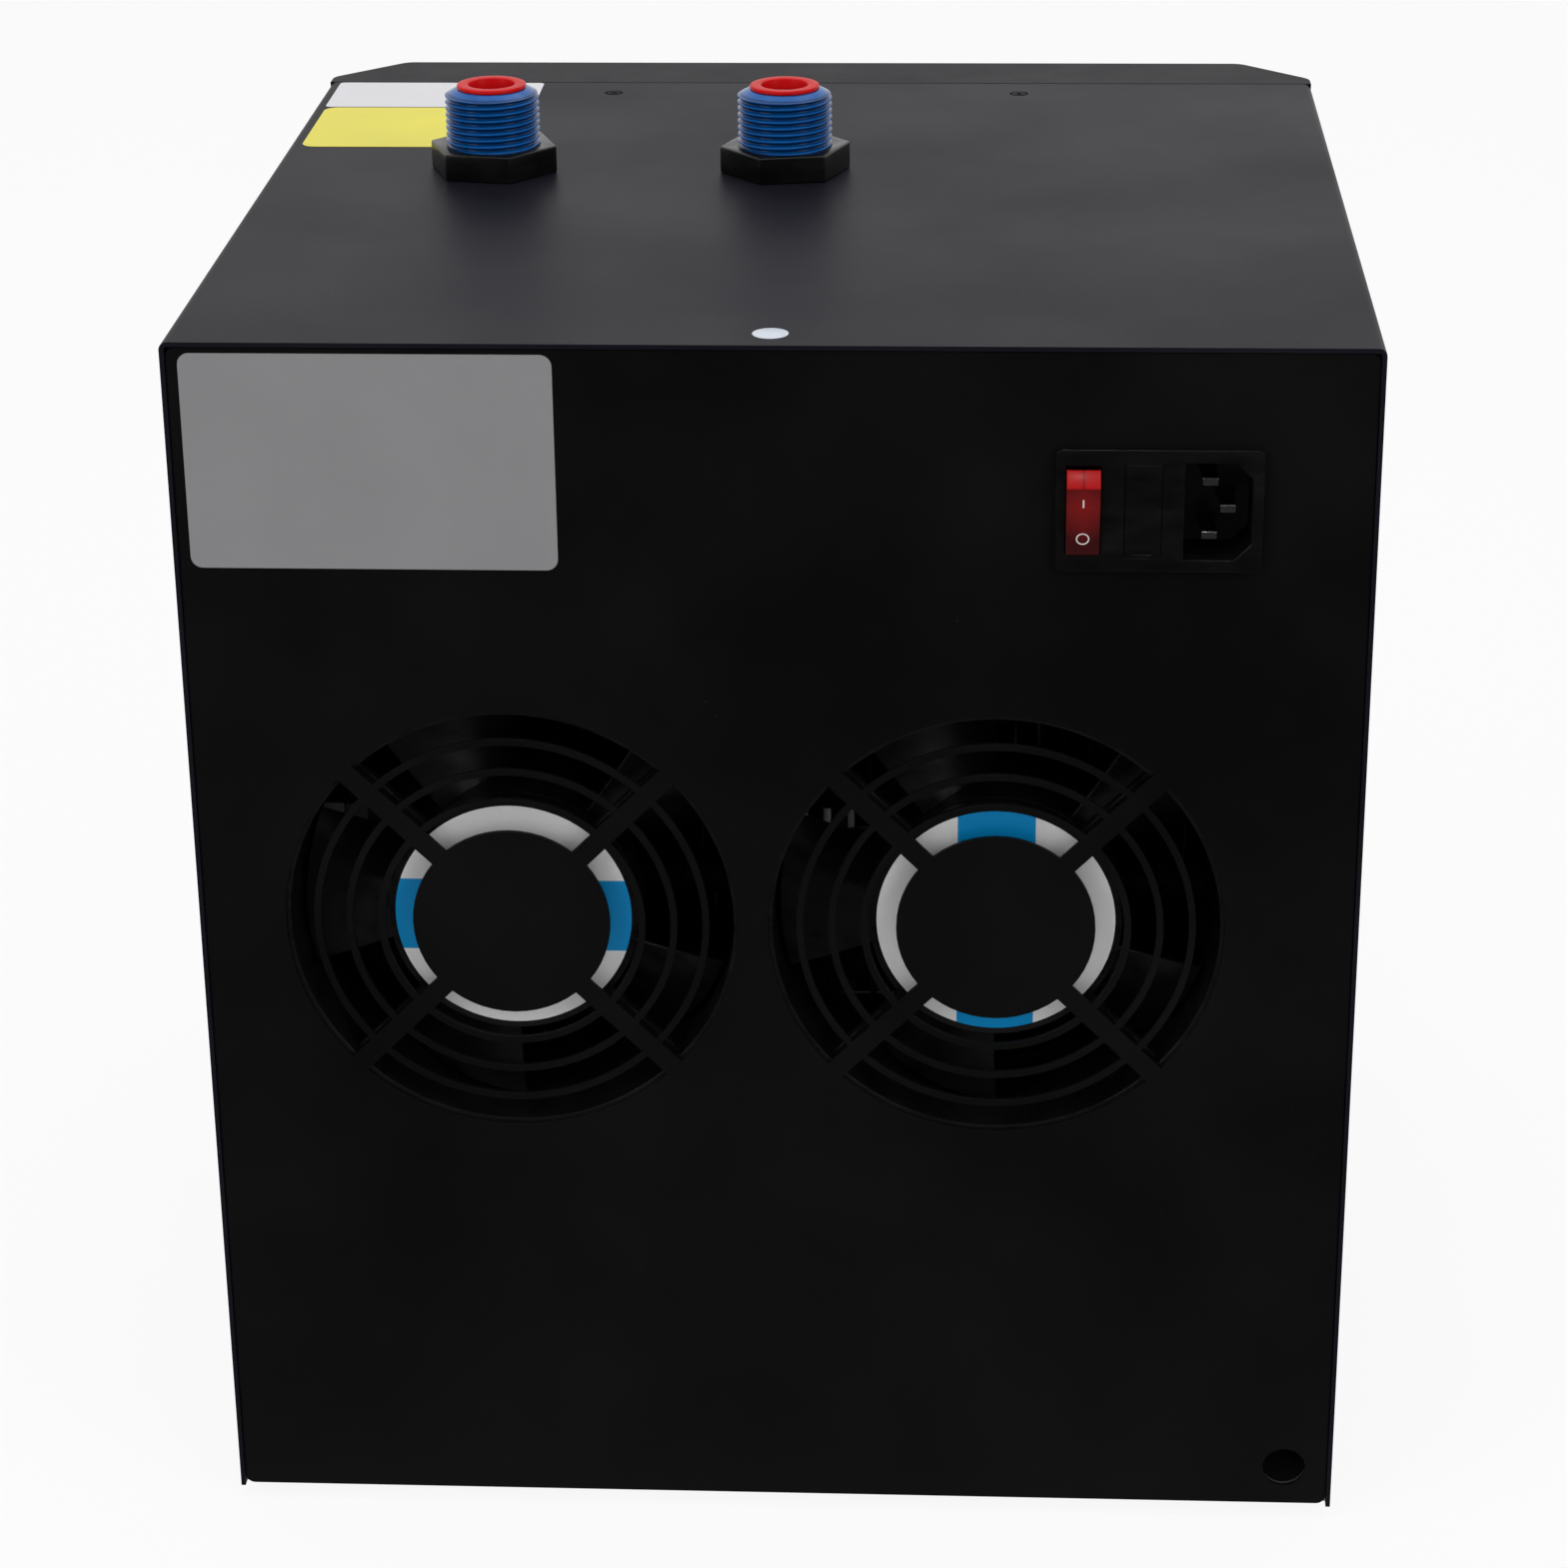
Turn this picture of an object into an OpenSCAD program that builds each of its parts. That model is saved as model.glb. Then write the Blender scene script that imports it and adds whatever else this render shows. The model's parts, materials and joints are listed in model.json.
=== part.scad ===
/* [Case] */
// Width over the steel cover
case_w = 300; // [298:1:320]
// Height of the cover's sides
case_h = 329; // [325:1:350]
// Depth of the cover, from its rear edge to the front moulding
case_d = 275; // [273:1:300]
// Thickness of the sheet steel
sheet_t = 1.2; // [0.8:0.1:1.4]
// Outer radius of the cover's two long bends
cover_bend_r = 2; // [1.6:0.1:3]
// Slot between the cover and the panels inside it
cover_gap = 0.2; // [0.1:0.05:0.4]
// Step in from the cover's rear edge to the rear panel
rear_inset = 0.4; // [0.1:0.1:1]
// Depth of the flanges folded from the panels
flange_d = 12; // [9:1:14]
// Height that the rubber feet hold the base above the floor
foot_h = 5; // [3:0.5:12]
// Drop of the cover's lower edge below the base
rim_drop = 0.8; // [0.4:0.1:2]

/* [Front moulding] */
// Straight depth of the moulding's sides
front_side_d = 6.4; // [5:0.2:10]
// Chamfer of its upright corners
front_chamfer = 20.2; // [18:0.2:24]
// Radius where the chamfer meets the faces
front_corner_r = 6; // [2:0.5:7]
// Wall of the moulding
front_wall = 2.6; // [2:0.1:3.2]
// Number of louvre slats in the air intake
louvre_count = 13; // [8:1:16]
// Height of the air intake
intake_h = 176; // [150:1:190]
// Width of the air intake
intake_w = 214; // [180:1:224]
// Thickness of one slat
slat_t = 2.4; // [1.6:0.1:3]

/* [Control panel] */
// Width of the display window
window_w = 96; // [80:1:110]
// Height of the display window
window_h = 38; // [30:1:42]
// Diameter of a push button
button_dia = 11; // [9:0.5:13]
// Distance between neighbouring buttons
button_pitch = 24; // [20:0.5:28]
// Travel of a push button
button_travel = 1.2; // [0.6:0.1:2]
// How far a button stands proud of the moulding
button_proud = 1.6; // [1.6:0.1:3]

/* [Fans] */
// Side of the square fan frame
fan_size = 120; // [119:0.5:121]
// Depth of the fan frame
fan_depth = 38; // [36:0.5:39]
// Distance between the two fan axes
fan_pitch = 125.5; // [124:0.5:127]
// Offset of the pair from the middle of the case
fan_mid_x = 5.8; // [4:0.2:7]
// Depth of the fan axes below the top face
fan_drop = 156.1; // [154:0.5:158]
// Radius of the fan duct
duct_r = 57.8; // [56:0.2:58.4]
// Gap between the blade tips and the duct
tip_gap = 1.2; // [0.8:0.1:2]
// Radius of the motor hub
hub_r = 32.6; // [31:0.2:34]
// Number of blades
blade_count = 5; // [4:1:7]
// Radius of the fan shaft
shaft_r = 2.5; // [2:0.1:3]
// Radial clearance of the shaft in its bearing
shaft_clearance = 0.05; // [0.02:0.01:0.09]

/* [Rear grilles] */
// Outer radius of a grille's openings
grille_r = 58.9; // [58:0.1:60]
// Radius of the plain disc in the middle
grille_disc_r = 25.7; // [24:0.1:27]
// Width of one ring bar
ring_bar_w = 1.8; // [1.4:0.1:2.4]
// Width of a diagonal spoke
spoke_w = 5.2; // [4:0.1:7]
// Number of ring bars
ring_count = 3; // [2:1:4]
// Diameter of the round hole in the lower corner
corner_hole_dia = 11.5; // [9:0.1:13]

/* [Water ports] */
// Distance between the two ports
port_pitch = 82.4; // [80:0.2:86]
// Offset of the pair from the middle of the case
port_mid_x = 45.7; // [43:0.2:46]
// Distance of the ports from the cover's rear edge
port_back = 169.5; // [168:0.5:172]
// Outer radius of the pipe thread
thread_r = 13.2; // [13:0.05:13.4]
// Height of the thread's end above the top face
thread_top_h = 21.8; // [20:0.1:26]
// Width across the flats of the hexagon nut
nut_af = 32; // [31:0.5:36]
// Height of the hexagon nut
nut_h = 7.5; // [6:0.1:9]
// Radius of the plug's flange
plug_flange_r = 9.7; // [9:0.1:9.8]
// Thickness of the plug's flange
plug_flange_t = 1.2; // [0.8:0.1:2]

/* [Power inlet] */
// Width of the inlet's flange
inlet_w = 51; // [50:0.5:53]
// Height of the inlet's flange
inlet_h = 31.6; // [30.6:0.2:34]
// Thickness of the inlet's flange
inlet_flange_t = 1.8; // [1.4:0.1:2.4]
// Distance of the inlet's middle from the case's middle
inlet_side_x = 96; // [94:0.5:97]
// Depth of the inlet's middle below the top face
inlet_drop = 41.5; // [40:0.5:43]
// Width of the rocker
rocker_w = 8.3; // [8:0.1:8.6]
// Swing of the rocker between off and on
rocker_swing = 28; // [20:1:30]
// Width of the appliance socket
socket_w = 16.7; // [16.5:0.1:17]
// Height of the appliance socket
socket_h = 25.3; // [25:0.1:25.6]
// Depth of the appliance socket
socket_d = 15.5; // [14:0.1:17]

/* [Refrigeration] */
// Radius of the compressor shell
comp_r = 48; // [44:0.5:50]
// Height of the compressor shell
comp_h = 172; // [150:1:180]
// Width of the condenser's fin pack
cond_w = 240; // [238:1:242]
// Tubes in one row of the condenser
cond_tubes = 8; // [6:2:8]
// Distance between neighbouring condenser tubes
cond_pitch = 25.4; // [24.4:0.1:25.6]
// Radius of a condenser tube
cond_tube_r = 4.76; // [4:0.02:4.9]
// Number of fins
fin_count = 38; // [20:1:44]
// Thickness of a fin
fin_t = 0.4; // [0.3:0.05:0.8]
// Outer radius of the heat exchanger barrel
barrel_r = 55; // [53:0.5:56]
// Height of the heat exchanger barrel
barrel_h = 218; // [200:1:224]
// Turns of the coil in the heat exchanger
coil_turns = 7; // [4:1:8]

/* [Hidden] */

$fn = 64;
// Overrun of every cut past the face that it opens
cut = 1;
// Gap that keeps two soft or loosely held pieces apart
slack = 0.3;
// Clearance of a part that slides in its guide
guide_gap = 0.15;
// Steps of a drawn corner
corner_steps = 6;
// Share of an inset that a rounded corner gives up
corner_inset_share = 0.8;
// Tangent and root figures of a hexagon
hex_share = 2 / sqrt(3);

// Rocker, which turns below the flange's face, and how far its raised end stands behind its pivot
rocker_r = 12.9;
rocker_pivot_depth = 6;
rocker_face_angle = 48;
rocker_flank_angle = 72;
rocker_slope = rocker_swing / 2;
rocker_face = rocker_r * cos(rocker_face_angle);
rocker_flank = rocker_r * cos(rocker_flank_angle);
rocker_tip = rocker_r * cos(rocker_face_angle - rocker_slope);

// Levels and walls of the case
base_z = foot_h;
rim_z = base_z - rim_drop;
top_z = rim_z + case_h;
floor_z = base_z + sheet_t;
front_d = front_side_d + front_chamfer;
inlet_proud = inlet_flange_t + rocker_tip - rocker_pivot_depth - rear_inset;
rear_y = (case_d + front_d + button_proud - inlet_proud) / 2;
panel_y = rear_y - rear_inset;
panel_in_y = panel_y - sheet_t;
joint_y = rear_y - case_d;
front_y = joint_y - front_d;
inner_w = case_w - 2 * (sheet_t + cover_gap);
under_z = top_z - sheet_t - cover_gap;
frame_y = joint_y + sheet_t;
frame_in_y = frame_y + sheet_t;

// Round hole in the lower corner of the rear panel
hole_in = 13;
hole_up = 12.1;
hole_x = hole_in - case_w / 2;
hole_z = rim_z + hole_up;

// Screws that hold the cover to the front frame and the tray
cover_screw_x = 61.4;
cover_screw_back = 13.7;
cover_screw_r = 1.5;
cover_head_r = 2.6;
cover_head_t = 0.7;
cover_screw_l = 8;
side_screw_z = base_z + flange_d / 2;
side_screw_shares = [0.15, 0.5, 0.85];

// Rubber feet
foot_r = 13;
foot_top_r = 11;
foot_inset = 34;
foot_stud_r = 3;

// Fans
fan_z = top_z - fan_drop;
fan_xs = [fan_mid_x + fan_pitch / 2, fan_mid_x - fan_pitch / 2];
fan_front_y = panel_in_y - fan_depth;
fan_corner_r = 6;
fan_hole_pitch = 105;
fan_hole_r = 2.15;
fan_lip_t = 4.5;
fan_skirt_r = 59.2;
hub_recess = 3.8;
hub_plate_t = 4;
hub_gap = 1;
rotor_end = 2;
rotor_wall = 2;
strut_w = 5;
bearing_r = 5;
stator_r = 27;
blade_root_chord = 29;
blade_tip_chord = 41;
blade_root_pitch = 48;
blade_tip_pitch = 27;
blade_camber = 3;
blade_t = 1.8;
blade_spans = 5;
blade_steps = 6;

// Condenser and its shroud
shroud_d = 9.2;
cond_rear_y = fan_front_y - shroud_d;
cond_rows = 2;
cond_row_gap = 22;
cond_d = cond_rows * cond_row_gap;
cond_h = cond_tubes * cond_pitch;
cond_z0 = fan_z - cond_h / 2;
cond_plate_t = 1.2;
cond_plate_x = cond_w / 2 + cond_plate_t;
cond_foot_w = 12;
tube_gap = 0.1;
bend_stub = 1.5;
inlet_stub = 7;

// Water ports
port_xs = [port_mid_x + port_pitch / 2, port_mid_x - port_pitch / 2];
port_turns = [-10, 10];
port_y = rear_y - port_back;
nipple_bevel_h = 1.5;
nipple_end_r = 10;
nipple_top_h = thread_top_h + nipple_bevel_h;
neck_step = 0.9;
neck_r = thread_r - neck_step;
nut_chamfer = 1.2;
gasket_t = 2;
gasket_r = 17;
nipple_flange_r = 18;
nipple_flange_t = 4;
nipple_bore_r = 5.2;
tail_r = 8.2;
tail_l = 26;
barb_rise = 0.7;
barb_count = 4;
plug_wall = 1.2;
plug_d = 12;
plug_fit = 0.1;
mouth_wall = 2.25;
plug_seat_r = nipple_end_r - mouth_wall;
plug_body_r = plug_seat_r - plug_fit;

// Heat exchanger under the ports
saddle_t = 5;
barrel_wall = 4;
barrel_z0 = floor_z + saddle_t;
cap_z0 = barrel_z0 + barrel_h;
cap_t = 14;
cap_r = 62;
cap_top_z = cap_z0 + cap_t;
cap_spigot = 10;
cap_bolt_count = 6;
cap_bolt_head_r = 5;
cap_bolt_head_h = 4;
jacket_t = 5;
coil_r = 36;
coil_tube_r = 4.5;
coil_end_gap = 16;
coil_rise = 16;
hose_wall = 3.5;
clamp_w = 9;
clamp_t = 0.8;
clamp_inset = 5;
clamp_box = 8;

// Compressor
comp_side_gap = 15;
comp_step = 8;
comp_x = -inner_w / 2 + comp_side_gap + comp_r;
comp_y = port_y + comp_step;
comp_foot_h = 9;
comp_plate_t = 3;
comp_plate_z = floor_z + comp_foot_h;
comp_z0 = comp_plate_z + comp_plate_t;
comp_dome_r = 18;
comp_bolt_pitch = 57;
comp_bolt_r = 3;
comp_lobe_r = 9;
grommet_r = 8;
comp_angles = [90, 210, 330];
comp_weld_rise = 0.6;
comp_weld_h = 5;
comp_top_z = comp_z0 + comp_h;
terminal_r = 16;
terminal_h = 20;
terminal_off = 21.5;
accumulator_r = 21;
accumulator_h = 112;
accumulator_gap = 8;
accumulator_lift = 34;
accumulator_y = comp_y - comp_r - accumulator_r - accumulator_gap;
accumulator_x = comp_x;
accumulator_z0 = comp_z0 + accumulator_lift;
pipe_r = 4;
small_pipe_r = 3.2;
pipe_bend = 12;
bend_loss = 0.05;
capillary_r = 1.3;
capillary_loop_r = 17;
capillary_turns = 4;
capillary_pitch = 4.2;
drier_r = 9.5;
drier_l = 66;
drier_cone_l = 9;

// Power inlet
inlet_x = -inlet_side_x;
inlet_z = top_z - inlet_drop;
inlet_face_y = panel_y + inlet_flange_t;
inlet_body_w = 48.4;
inlet_body_h = 28;
inlet_body_d = 24;
inlet_cut_gap = 0.3;
inlet_corner_r = 1.6;
socket_dx = -14.4;
socket_chamfer = 4.2;
pin_w = 4;
pin_t = 2;
pin_tip_depth = 2.5;
pin_pitch = 14;
pin_line_dx = 1.95;
pin_earth_dx = -2.55;
pin_tab_l = 8;
rocker_dx = 18.75;
rocker_hole_gap = 0.2;
rocker_stem_w = 5;
rocker_stem_drop = 2;
rocker_floor_depth = 9;
trunnion_r = 1.3;
trunnion_l = 0.9;
trunnion_gap = 0.05;
drawer_dx = 4;
drawer_w = 9;
drawer_h = 24;
drawer_d = 17;
drawer_wall = 1.2;
fuse_r = 2.6;
fuse_l = 20;
fuse_cap_l = 5;

// Control panel and boards
window_drop = 46;
window_z = top_z - window_drop;
window_t = 2;
window_lip = 3;
button_step = 20;
button_z = window_z - window_h / 2 - button_step;
button_r = button_dia / 2;
button_flange_t = 1.4;
button_flange = 1.6;
button_stem_r = 2.2;
button_xs = [for (i = [0:3]) (i - 1.5) * button_pitch];
switch_w = 6;
switch_h = 4.3;
display_board_t = 1.6;
display_gap = 11;
display_over = 6;
display_under = 12;
display_board_y = front_y + front_wall + display_gap;
display_board_w = 132;
display_board_top = window_z + window_h / 2 + display_over;
display_board_low = button_z - display_under;
boss_r = 4;
boss_hole_r = 1.3;
display_led_h = 7;
intake_lift = 30;
intake_z0 = base_z + intake_lift;
intake_ribs = 3;
rib_t = 2.6;
slat_lean = 7;
board_w = 92;
board_h = 84;
board_t = 1.6;
board_post_l = 8;
board_post_r = 3;
board_shift = 4;
board_drop = 18;
board_x = comp_x - board_shift;
board_z = under_z - board_drop - board_h / 2;
board_hole_inset = 5;

// Small sizes of the compressor, the coil and the boards
comp_seam_share = 0.86;
comp_bolt_head_h = 4;
comp_bolt_head_r = 5;
terminal_chamfer = 2.5;
accumulator_dome_r = 10;
accumulator_drop = 18;
accumulator_bend = 10;
strap_w = 16;
barb_share = 0.3;
coil_turn_steps = 24;
coil_bend = 8;
tube_sides = 6;
drier_step = 28;
drier_back = 26;
discharge_rise = 28;
suction_rise = 16;
pipe_step = 2;
// Places of the board's parts, as shares of its width and height: left, low, right, high, tall
board_parts_shares = [[-0.42, -0.1, -0.08, 0.28, 0.26], [0.02, 0.05, 0.24, 0.28, 0.17],
    [0.28, 0.05, 0.46, 0.28, 0.17], [-0.32, -0.46, 0.32, -0.34, 0.12]];
board_caps_shares = [[0.1, -0.14, 0.07, 0.2], [0.3, -0.14, 0.07, 0.2]];

// Hoses between the cap and the ports
hose_low = cap_top_z + slack;
hose_high = top_z - sheet_t - gasket_t - nipple_flange_t - slack;
hose_inner_r = tail_r + barb_rise + guide_gap;

// Ends of the condenser's circuit, where the pipes meet it
stub_x = fan_mid_x - cond_plate_x - bend_stub - inlet_stub;
turn_x = stub_x - pipe_bend - pipe_step;
stub_hot = tube_yz(0, cond_tubes - 1);
stub_cool = tube_yz(1, cond_tubes - 1);
drier_y = stub_cool.x - drier_step;
drier_z = stub_cool.y - drier_step;
drier_x0 = comp_x - drier_back;
drier_x1 = drier_x0 + drier_l;
exchanger_top = cap_top_z + coil_rise;

// A point turned about the origin by an angle
function turned(p, a) = [p.x * cos(a) - p.y * sin(a), p.x * sin(a) + p.y * cos(a)];
function unit(v) = v / norm(v);

// The round corner at p between the points a and b, in two or three dimensions
function corner(p, a, b, r, n) =
    let (
        u = unit(a - p),
        v = unit(b - p),
        half = acos(u * v) / 2,
        middle = p + unit(u + v) * r / sin(half),
        s = p + u * r / tan(half) - middle,
        e = p + v * r / tan(half) - middle,
        sweep = 180 - 2 * half
    )
    [for (i = [0:n]) middle + (s * sin(sweep * (n - i) / n) + e * sin(sweep * i / n)) / sin(sweep)];

// A closed outline whose corners are rounded by the radii given
function rounded(points, radii) =
    let (n = len(points))
    [for (i = [0:n - 1])
        for (q = radii[i] > 0
            ? corner(points[i], points[(i + n - 1) % n], points[(i + 1) % n], radii[i], corner_steps)
            : [points[i]]) q];

// A route through points whose inner corners are rounded
function bent(points, r, n) =
    let (last = len(points) - 1)
    [for (i = [0:last])
        for (q = i == 0 || i == last
            ? [points[i]] : corner(points[i], points[i - 1], points[i + 1], r, n)) q];

// Rings of a tube along a route, each turned as little as can be from the one before
function tangents(p) = [for (i = [0:len(p) - 1]) unit(p[min(i + 1, len(p) - 1)] - p[max(i - 1, 0)])];
function carried(t, i, n) =
    i >= len(t) ? [] : let (m = unit(n - t[i] * (n * t[i]))) concat([m], carried(t, i + 1, m));
function tube_rings(p, r, sides, start) =
    let (t = tangents(p), n = carried(t, 0, start))
    [for (i = [0:len(p) - 1])
        [for (k = [0:sides - 1])
            p[i] + r * (cos(360 * k / sides) * n[i] + sin(360 * k / sides) * cross(t[i], n[i]))]];

// A solid skinned over rings that all have the same even number of points
module skin(rings) {
    n = len(rings[0]);
    m = len(rings);
    last = (m - 1) * n;
    sides = [for (i = [0:m - 2]) for (k = [0:n - 1])
        let (a = i * n + k, b = i * n + (k + 1) % n)
        each [[a, b + n, b], [a, a + n, b + n]]];
    ends = [for (k = [0:n / 2 - 2])
        let (a = k, b = k + 1, c = n - 2 - k, d = n - 1 - k)
        each [[a, b, c], [a, c, d], [last + a, last + c, last + b], [last + a, last + d, last + c]]];
    polyhedron(points = [for (ring = rings) each ring], faces = concat(sides, ends));
}

// A plate drawn in X and Z, whose outer face lies at y and which runs t towards the front
module wall(y, t) {
    translate([0, y, 0]) rotate([90, 0, 0]) linear_extrude(t) children();
}

// A bar drawn in Y and Z, which runs from x by the length l
module across(x, l) {
    translate([x, 0, 0]) rotate([90, 0, 90]) linear_extrude(l) children();
}

module block(low, high) {
    translate(low) cube(high - low);
}

module post(x, y, z0, z1, r) {
    translate([x, y, z0]) cylinder(h = z1 - z0, r = r);
}

module rod_y(x, z, y0, y1, r) {
    translate([x, y0, z]) rotate([-90, 0, 0]) cylinder(h = y1 - y0, r = r);
}

module rod_x(y, z, x0, x1, r) {
    translate([x0, y, z]) rotate([0, 90, 0]) cylinder(h = x1 - x0, r = r);
}

// A flat outline of a plate with round corners, about the origin
module round_plate(w, h, r) {
    polygon(rounded([[-w, -h] / 2, [w, -h] / 2, [w, h] / 2, [-w, h] / 2], [r, r, r, r]));
}

// A round pipe along straight runs, joined by true bends in which the tube is drawn slightly thinner
module bent_pipe(points, r, bend) {
    last = len(points) - 1;
    half = [for (i = [0:last]) i == 0 || i == last ? 90
        : acos(unit(points[i - 1] - points[i]) * unit(points[i + 1] - points[i])) / 2];
    trim = [for (i = [0:last]) i == 0 || i == last ? 0 : bend / tan(half[i])];
    for (i = [0:last - 1]) {
        d = points[i + 1] - points[i];
        z = unit(d);
        x = unit(abs(z.x) > 0.9 ? cross([0, 0, 1], z) : cross([1, 0, 0], z));
        y = cross(z, x);
        o = points[i] + z * trim[i];
        multmatrix([[x.x, y.x, z.x, o.x], [x.y, y.y, z.y, o.y], [x.z, y.z, z.z, o.z]])
            cylinder(h = norm(d) - trim[i] - trim[i + 1], r = r);
    }
    for (i = [1:1:last - 1]) {
        u = unit(points[i - 1] - points[i]);
        v = unit(points[i + 1] - points[i]);
        o = points[i] + unit(u + v) * bend / sin(half[i]);
        x = unit(points[i] + u * trim[i] - o);
        y = -u;
        z = cross(x, y);
        multmatrix([[x.x, y.x, z.x, o.x], [x.y, y.y, z.y, o.y], [x.z, y.z, z.z, o.z]])
            rotate_extrude(angle = 180 - 2 * half[i]) translate([bend, 0]) circle(r - bend_loss);
    }
}

// Steel cover: one sheet bent over the top and both sides
module outer_cover() {
    w = case_w / 2;
    r = cover_bend_r;
    t = sheet_t;
    color([0.08, 0.08, 0.085]) difference() {
        wall(rear_y, case_d) polygon(rounded(
            [[-w, rim_z], [-w, top_z], [w, top_z], [w, rim_z],
                [w - t, rim_z], [w - t, top_z - t], [t - w, top_z - t], [t - w, rim_z]],
            [0, r, r, 0, 0, r - t, r - t, 0]));
        for (x = port_xs) post(x, port_y, top_z - t - cut, top_z + cut, thread_r + guide_gap);
        for (x = [-cover_screw_x, cover_screw_x]) {
            post(x, joint_y + cover_screw_back, top_z - t - cut, top_z + cut, cover_screw_r + guide_gap);
            post(x, joint_y + cover_screw_back, top_z - cover_head_t, top_z + cut, cover_head_r + guide_gap);
        }
        for (s = side_screw_shares)
            for (m = [0, 1]) mirror([m, 0, 0]) {
                rod_x(joint_y + case_d * s, side_screw_z, w - t - cut, w + cut, cover_screw_r + guide_gap);
                rod_x(joint_y + case_d * s, side_screw_z, w - cover_head_t, w + cut,
                    cover_head_r + guide_gap);
            }
    }
}

// Openings between the ring bars and spokes of one grille
module grille_openings() {
    pitch = (grille_r - grille_disc_r) / (ring_count + 1);
    for (q = [0:3]) rotate(q * 90) intersection() {
        union() for (i = [0:ring_count]) difference() {
            circle(r = grille_r - i * pitch - (i > 0 ? ring_bar_w / 2 : 0));
            circle(r = grille_r - (i + 1) * pitch + (i < ring_count ? ring_bar_w / 2 : 0));
        }
        // The quarter between two diagonal spokes
        translate([spoke_w / sqrt(2), 0])
            polygon([[0, 0], [grille_r * 2, -grille_r * 2], [grille_r * 2, grille_r * 2]]);
    }
}

// Rear panel with the two fan grilles, the inlet's cut-out and the corner hole
module rear_panel() {
    corner_r = 2.5;
    z0 = base_z;
    h = under_z - z0;
    color([0.06, 0.06, 0.065]) {
        difference() {
            union() {
                wall(panel_y, sheet_t) translate([0, z0 + h / 2]) round_plate(inner_w, h, corner_r);
                for (s = [-1, 1])
                    block([s * inner_w / 2 - (s > 0 ? sheet_t : 0), panel_in_y - flange_d, z0 + 2 * flange_d],
                    [s * inner_w / 2 + (s > 0 ? 0 : sheet_t), panel_in_y + sheet_t / 2, under_z - flange_d]);
                block([flange_d - inner_w / 2, panel_in_y - flange_d, under_z - sheet_t],
                    [inner_w / 2 - flange_d, panel_in_y + sheet_t / 2, under_z]);
            }
            for (x = fan_xs)
                wall(panel_y + cut, sheet_t + 2 * cut) translate([x, fan_z]) grille_openings();
            wall(panel_y + cut, sheet_t + 2 * cut) translate([inlet_x, inlet_z])
                square([inlet_body_w + 2 * inlet_cut_gap, inlet_body_h + 2 * inlet_cut_gap], center = true);
            rod_y(hole_x, hole_z, panel_in_y - cut, panel_y + cut, corner_hole_dia / 2);
        }
    }
}

// Base tray with its folded edges
module base_tray() {
    w = inner_w / 2;
    y0 = joint_y;
    y1 = panel_in_y;
    color([0.55, 0.56, 0.57]) difference() {
        union() {
            block([-w, y0, base_z], [w, y1, floor_z]);
            block([-w, y0, base_z], [w, y0 + sheet_t, base_z + flange_d]);
            block([-w, y1 - sheet_t, base_z], [w, y1, base_z + flange_d]);
            for (x = [-w, w - sheet_t])
                block([x, y0, base_z], [x + sheet_t, y1, base_z + flange_d]);
        }
        for (x = [-1, 1]) for (y = [joint_y + foot_inset, panel_in_y - foot_inset])
            post(x * (w - foot_inset), y, base_z - cut, floor_z + cut, foot_stud_r + guide_gap);
        for (a = comp_angles)
            post(comp_x + comp_bolt_pitch * cos(a), comp_y + comp_bolt_pitch * sin(a),
                base_z - cut, floor_z + cut, comp_bolt_r + guide_gap);
        for (s = side_screw_shares) rod_x(joint_y + case_d * s, side_screw_z, -w - cut, w + cut, cover_screw_r);
        rod_y(hole_x, hole_z, y1 - 2 * sheet_t, y1 + cut, corner_hole_dia / 2 + slack);
    }
}

// Sheet frame behind the front moulding, open for the air
module front_frame() {
    w = inner_w / 2 - sheet_t - cover_gap;
    color([0.55, 0.56, 0.57]) difference() {
        union() {
            block([-w, frame_y, floor_z], [w, frame_in_y, under_z]);
            block([-w, frame_y, under_z - sheet_t], [w, frame_y + 2 * flange_d, under_z]);
            block([-w, frame_y, floor_z], [w, frame_y + flange_d, floor_z + sheet_t]);
        }
        wall(frame_in_y + cut, sheet_t + 2 * cut) translate([0, intake_z0 + intake_h / 2])
            round_plate(intake_w, intake_h, front_corner_r);
        for (x = [-cover_screw_x, cover_screw_x])
            post(x, joint_y + cover_screw_back, under_z - sheet_t - cut, under_z + cut, cover_screw_r);
        for (x = [-1, 1]) for (z = [-1, 1])
            rod_y(board_x + x * (board_w / 2 - board_hole_inset),
                board_z + z * (board_h / 2 - board_hole_inset),
                frame_y - cut, frame_in_y + cut, boss_hole_r);
    }
}

// Plan of the front moulding, drawn in by a wall
module front_plan(inset) {
    w = case_w / 2 - inset;
    c = front_chamfer - inset * (sqrt(2) - 1);
    y = front_y + inset;
    side_y = y + c;
    r = front_corner_r - inset * corner_inset_share;
    polygon(rounded(
        [[-w, joint_y + (inset > 0 ? cut : 0)], [-w, side_y], [-w + c, y], [w - c, y], [w, side_y],
            [w, joint_y + (inset > 0 ? cut : 0)]],
        [0, r, r, r, r, 0]));
}

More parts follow.
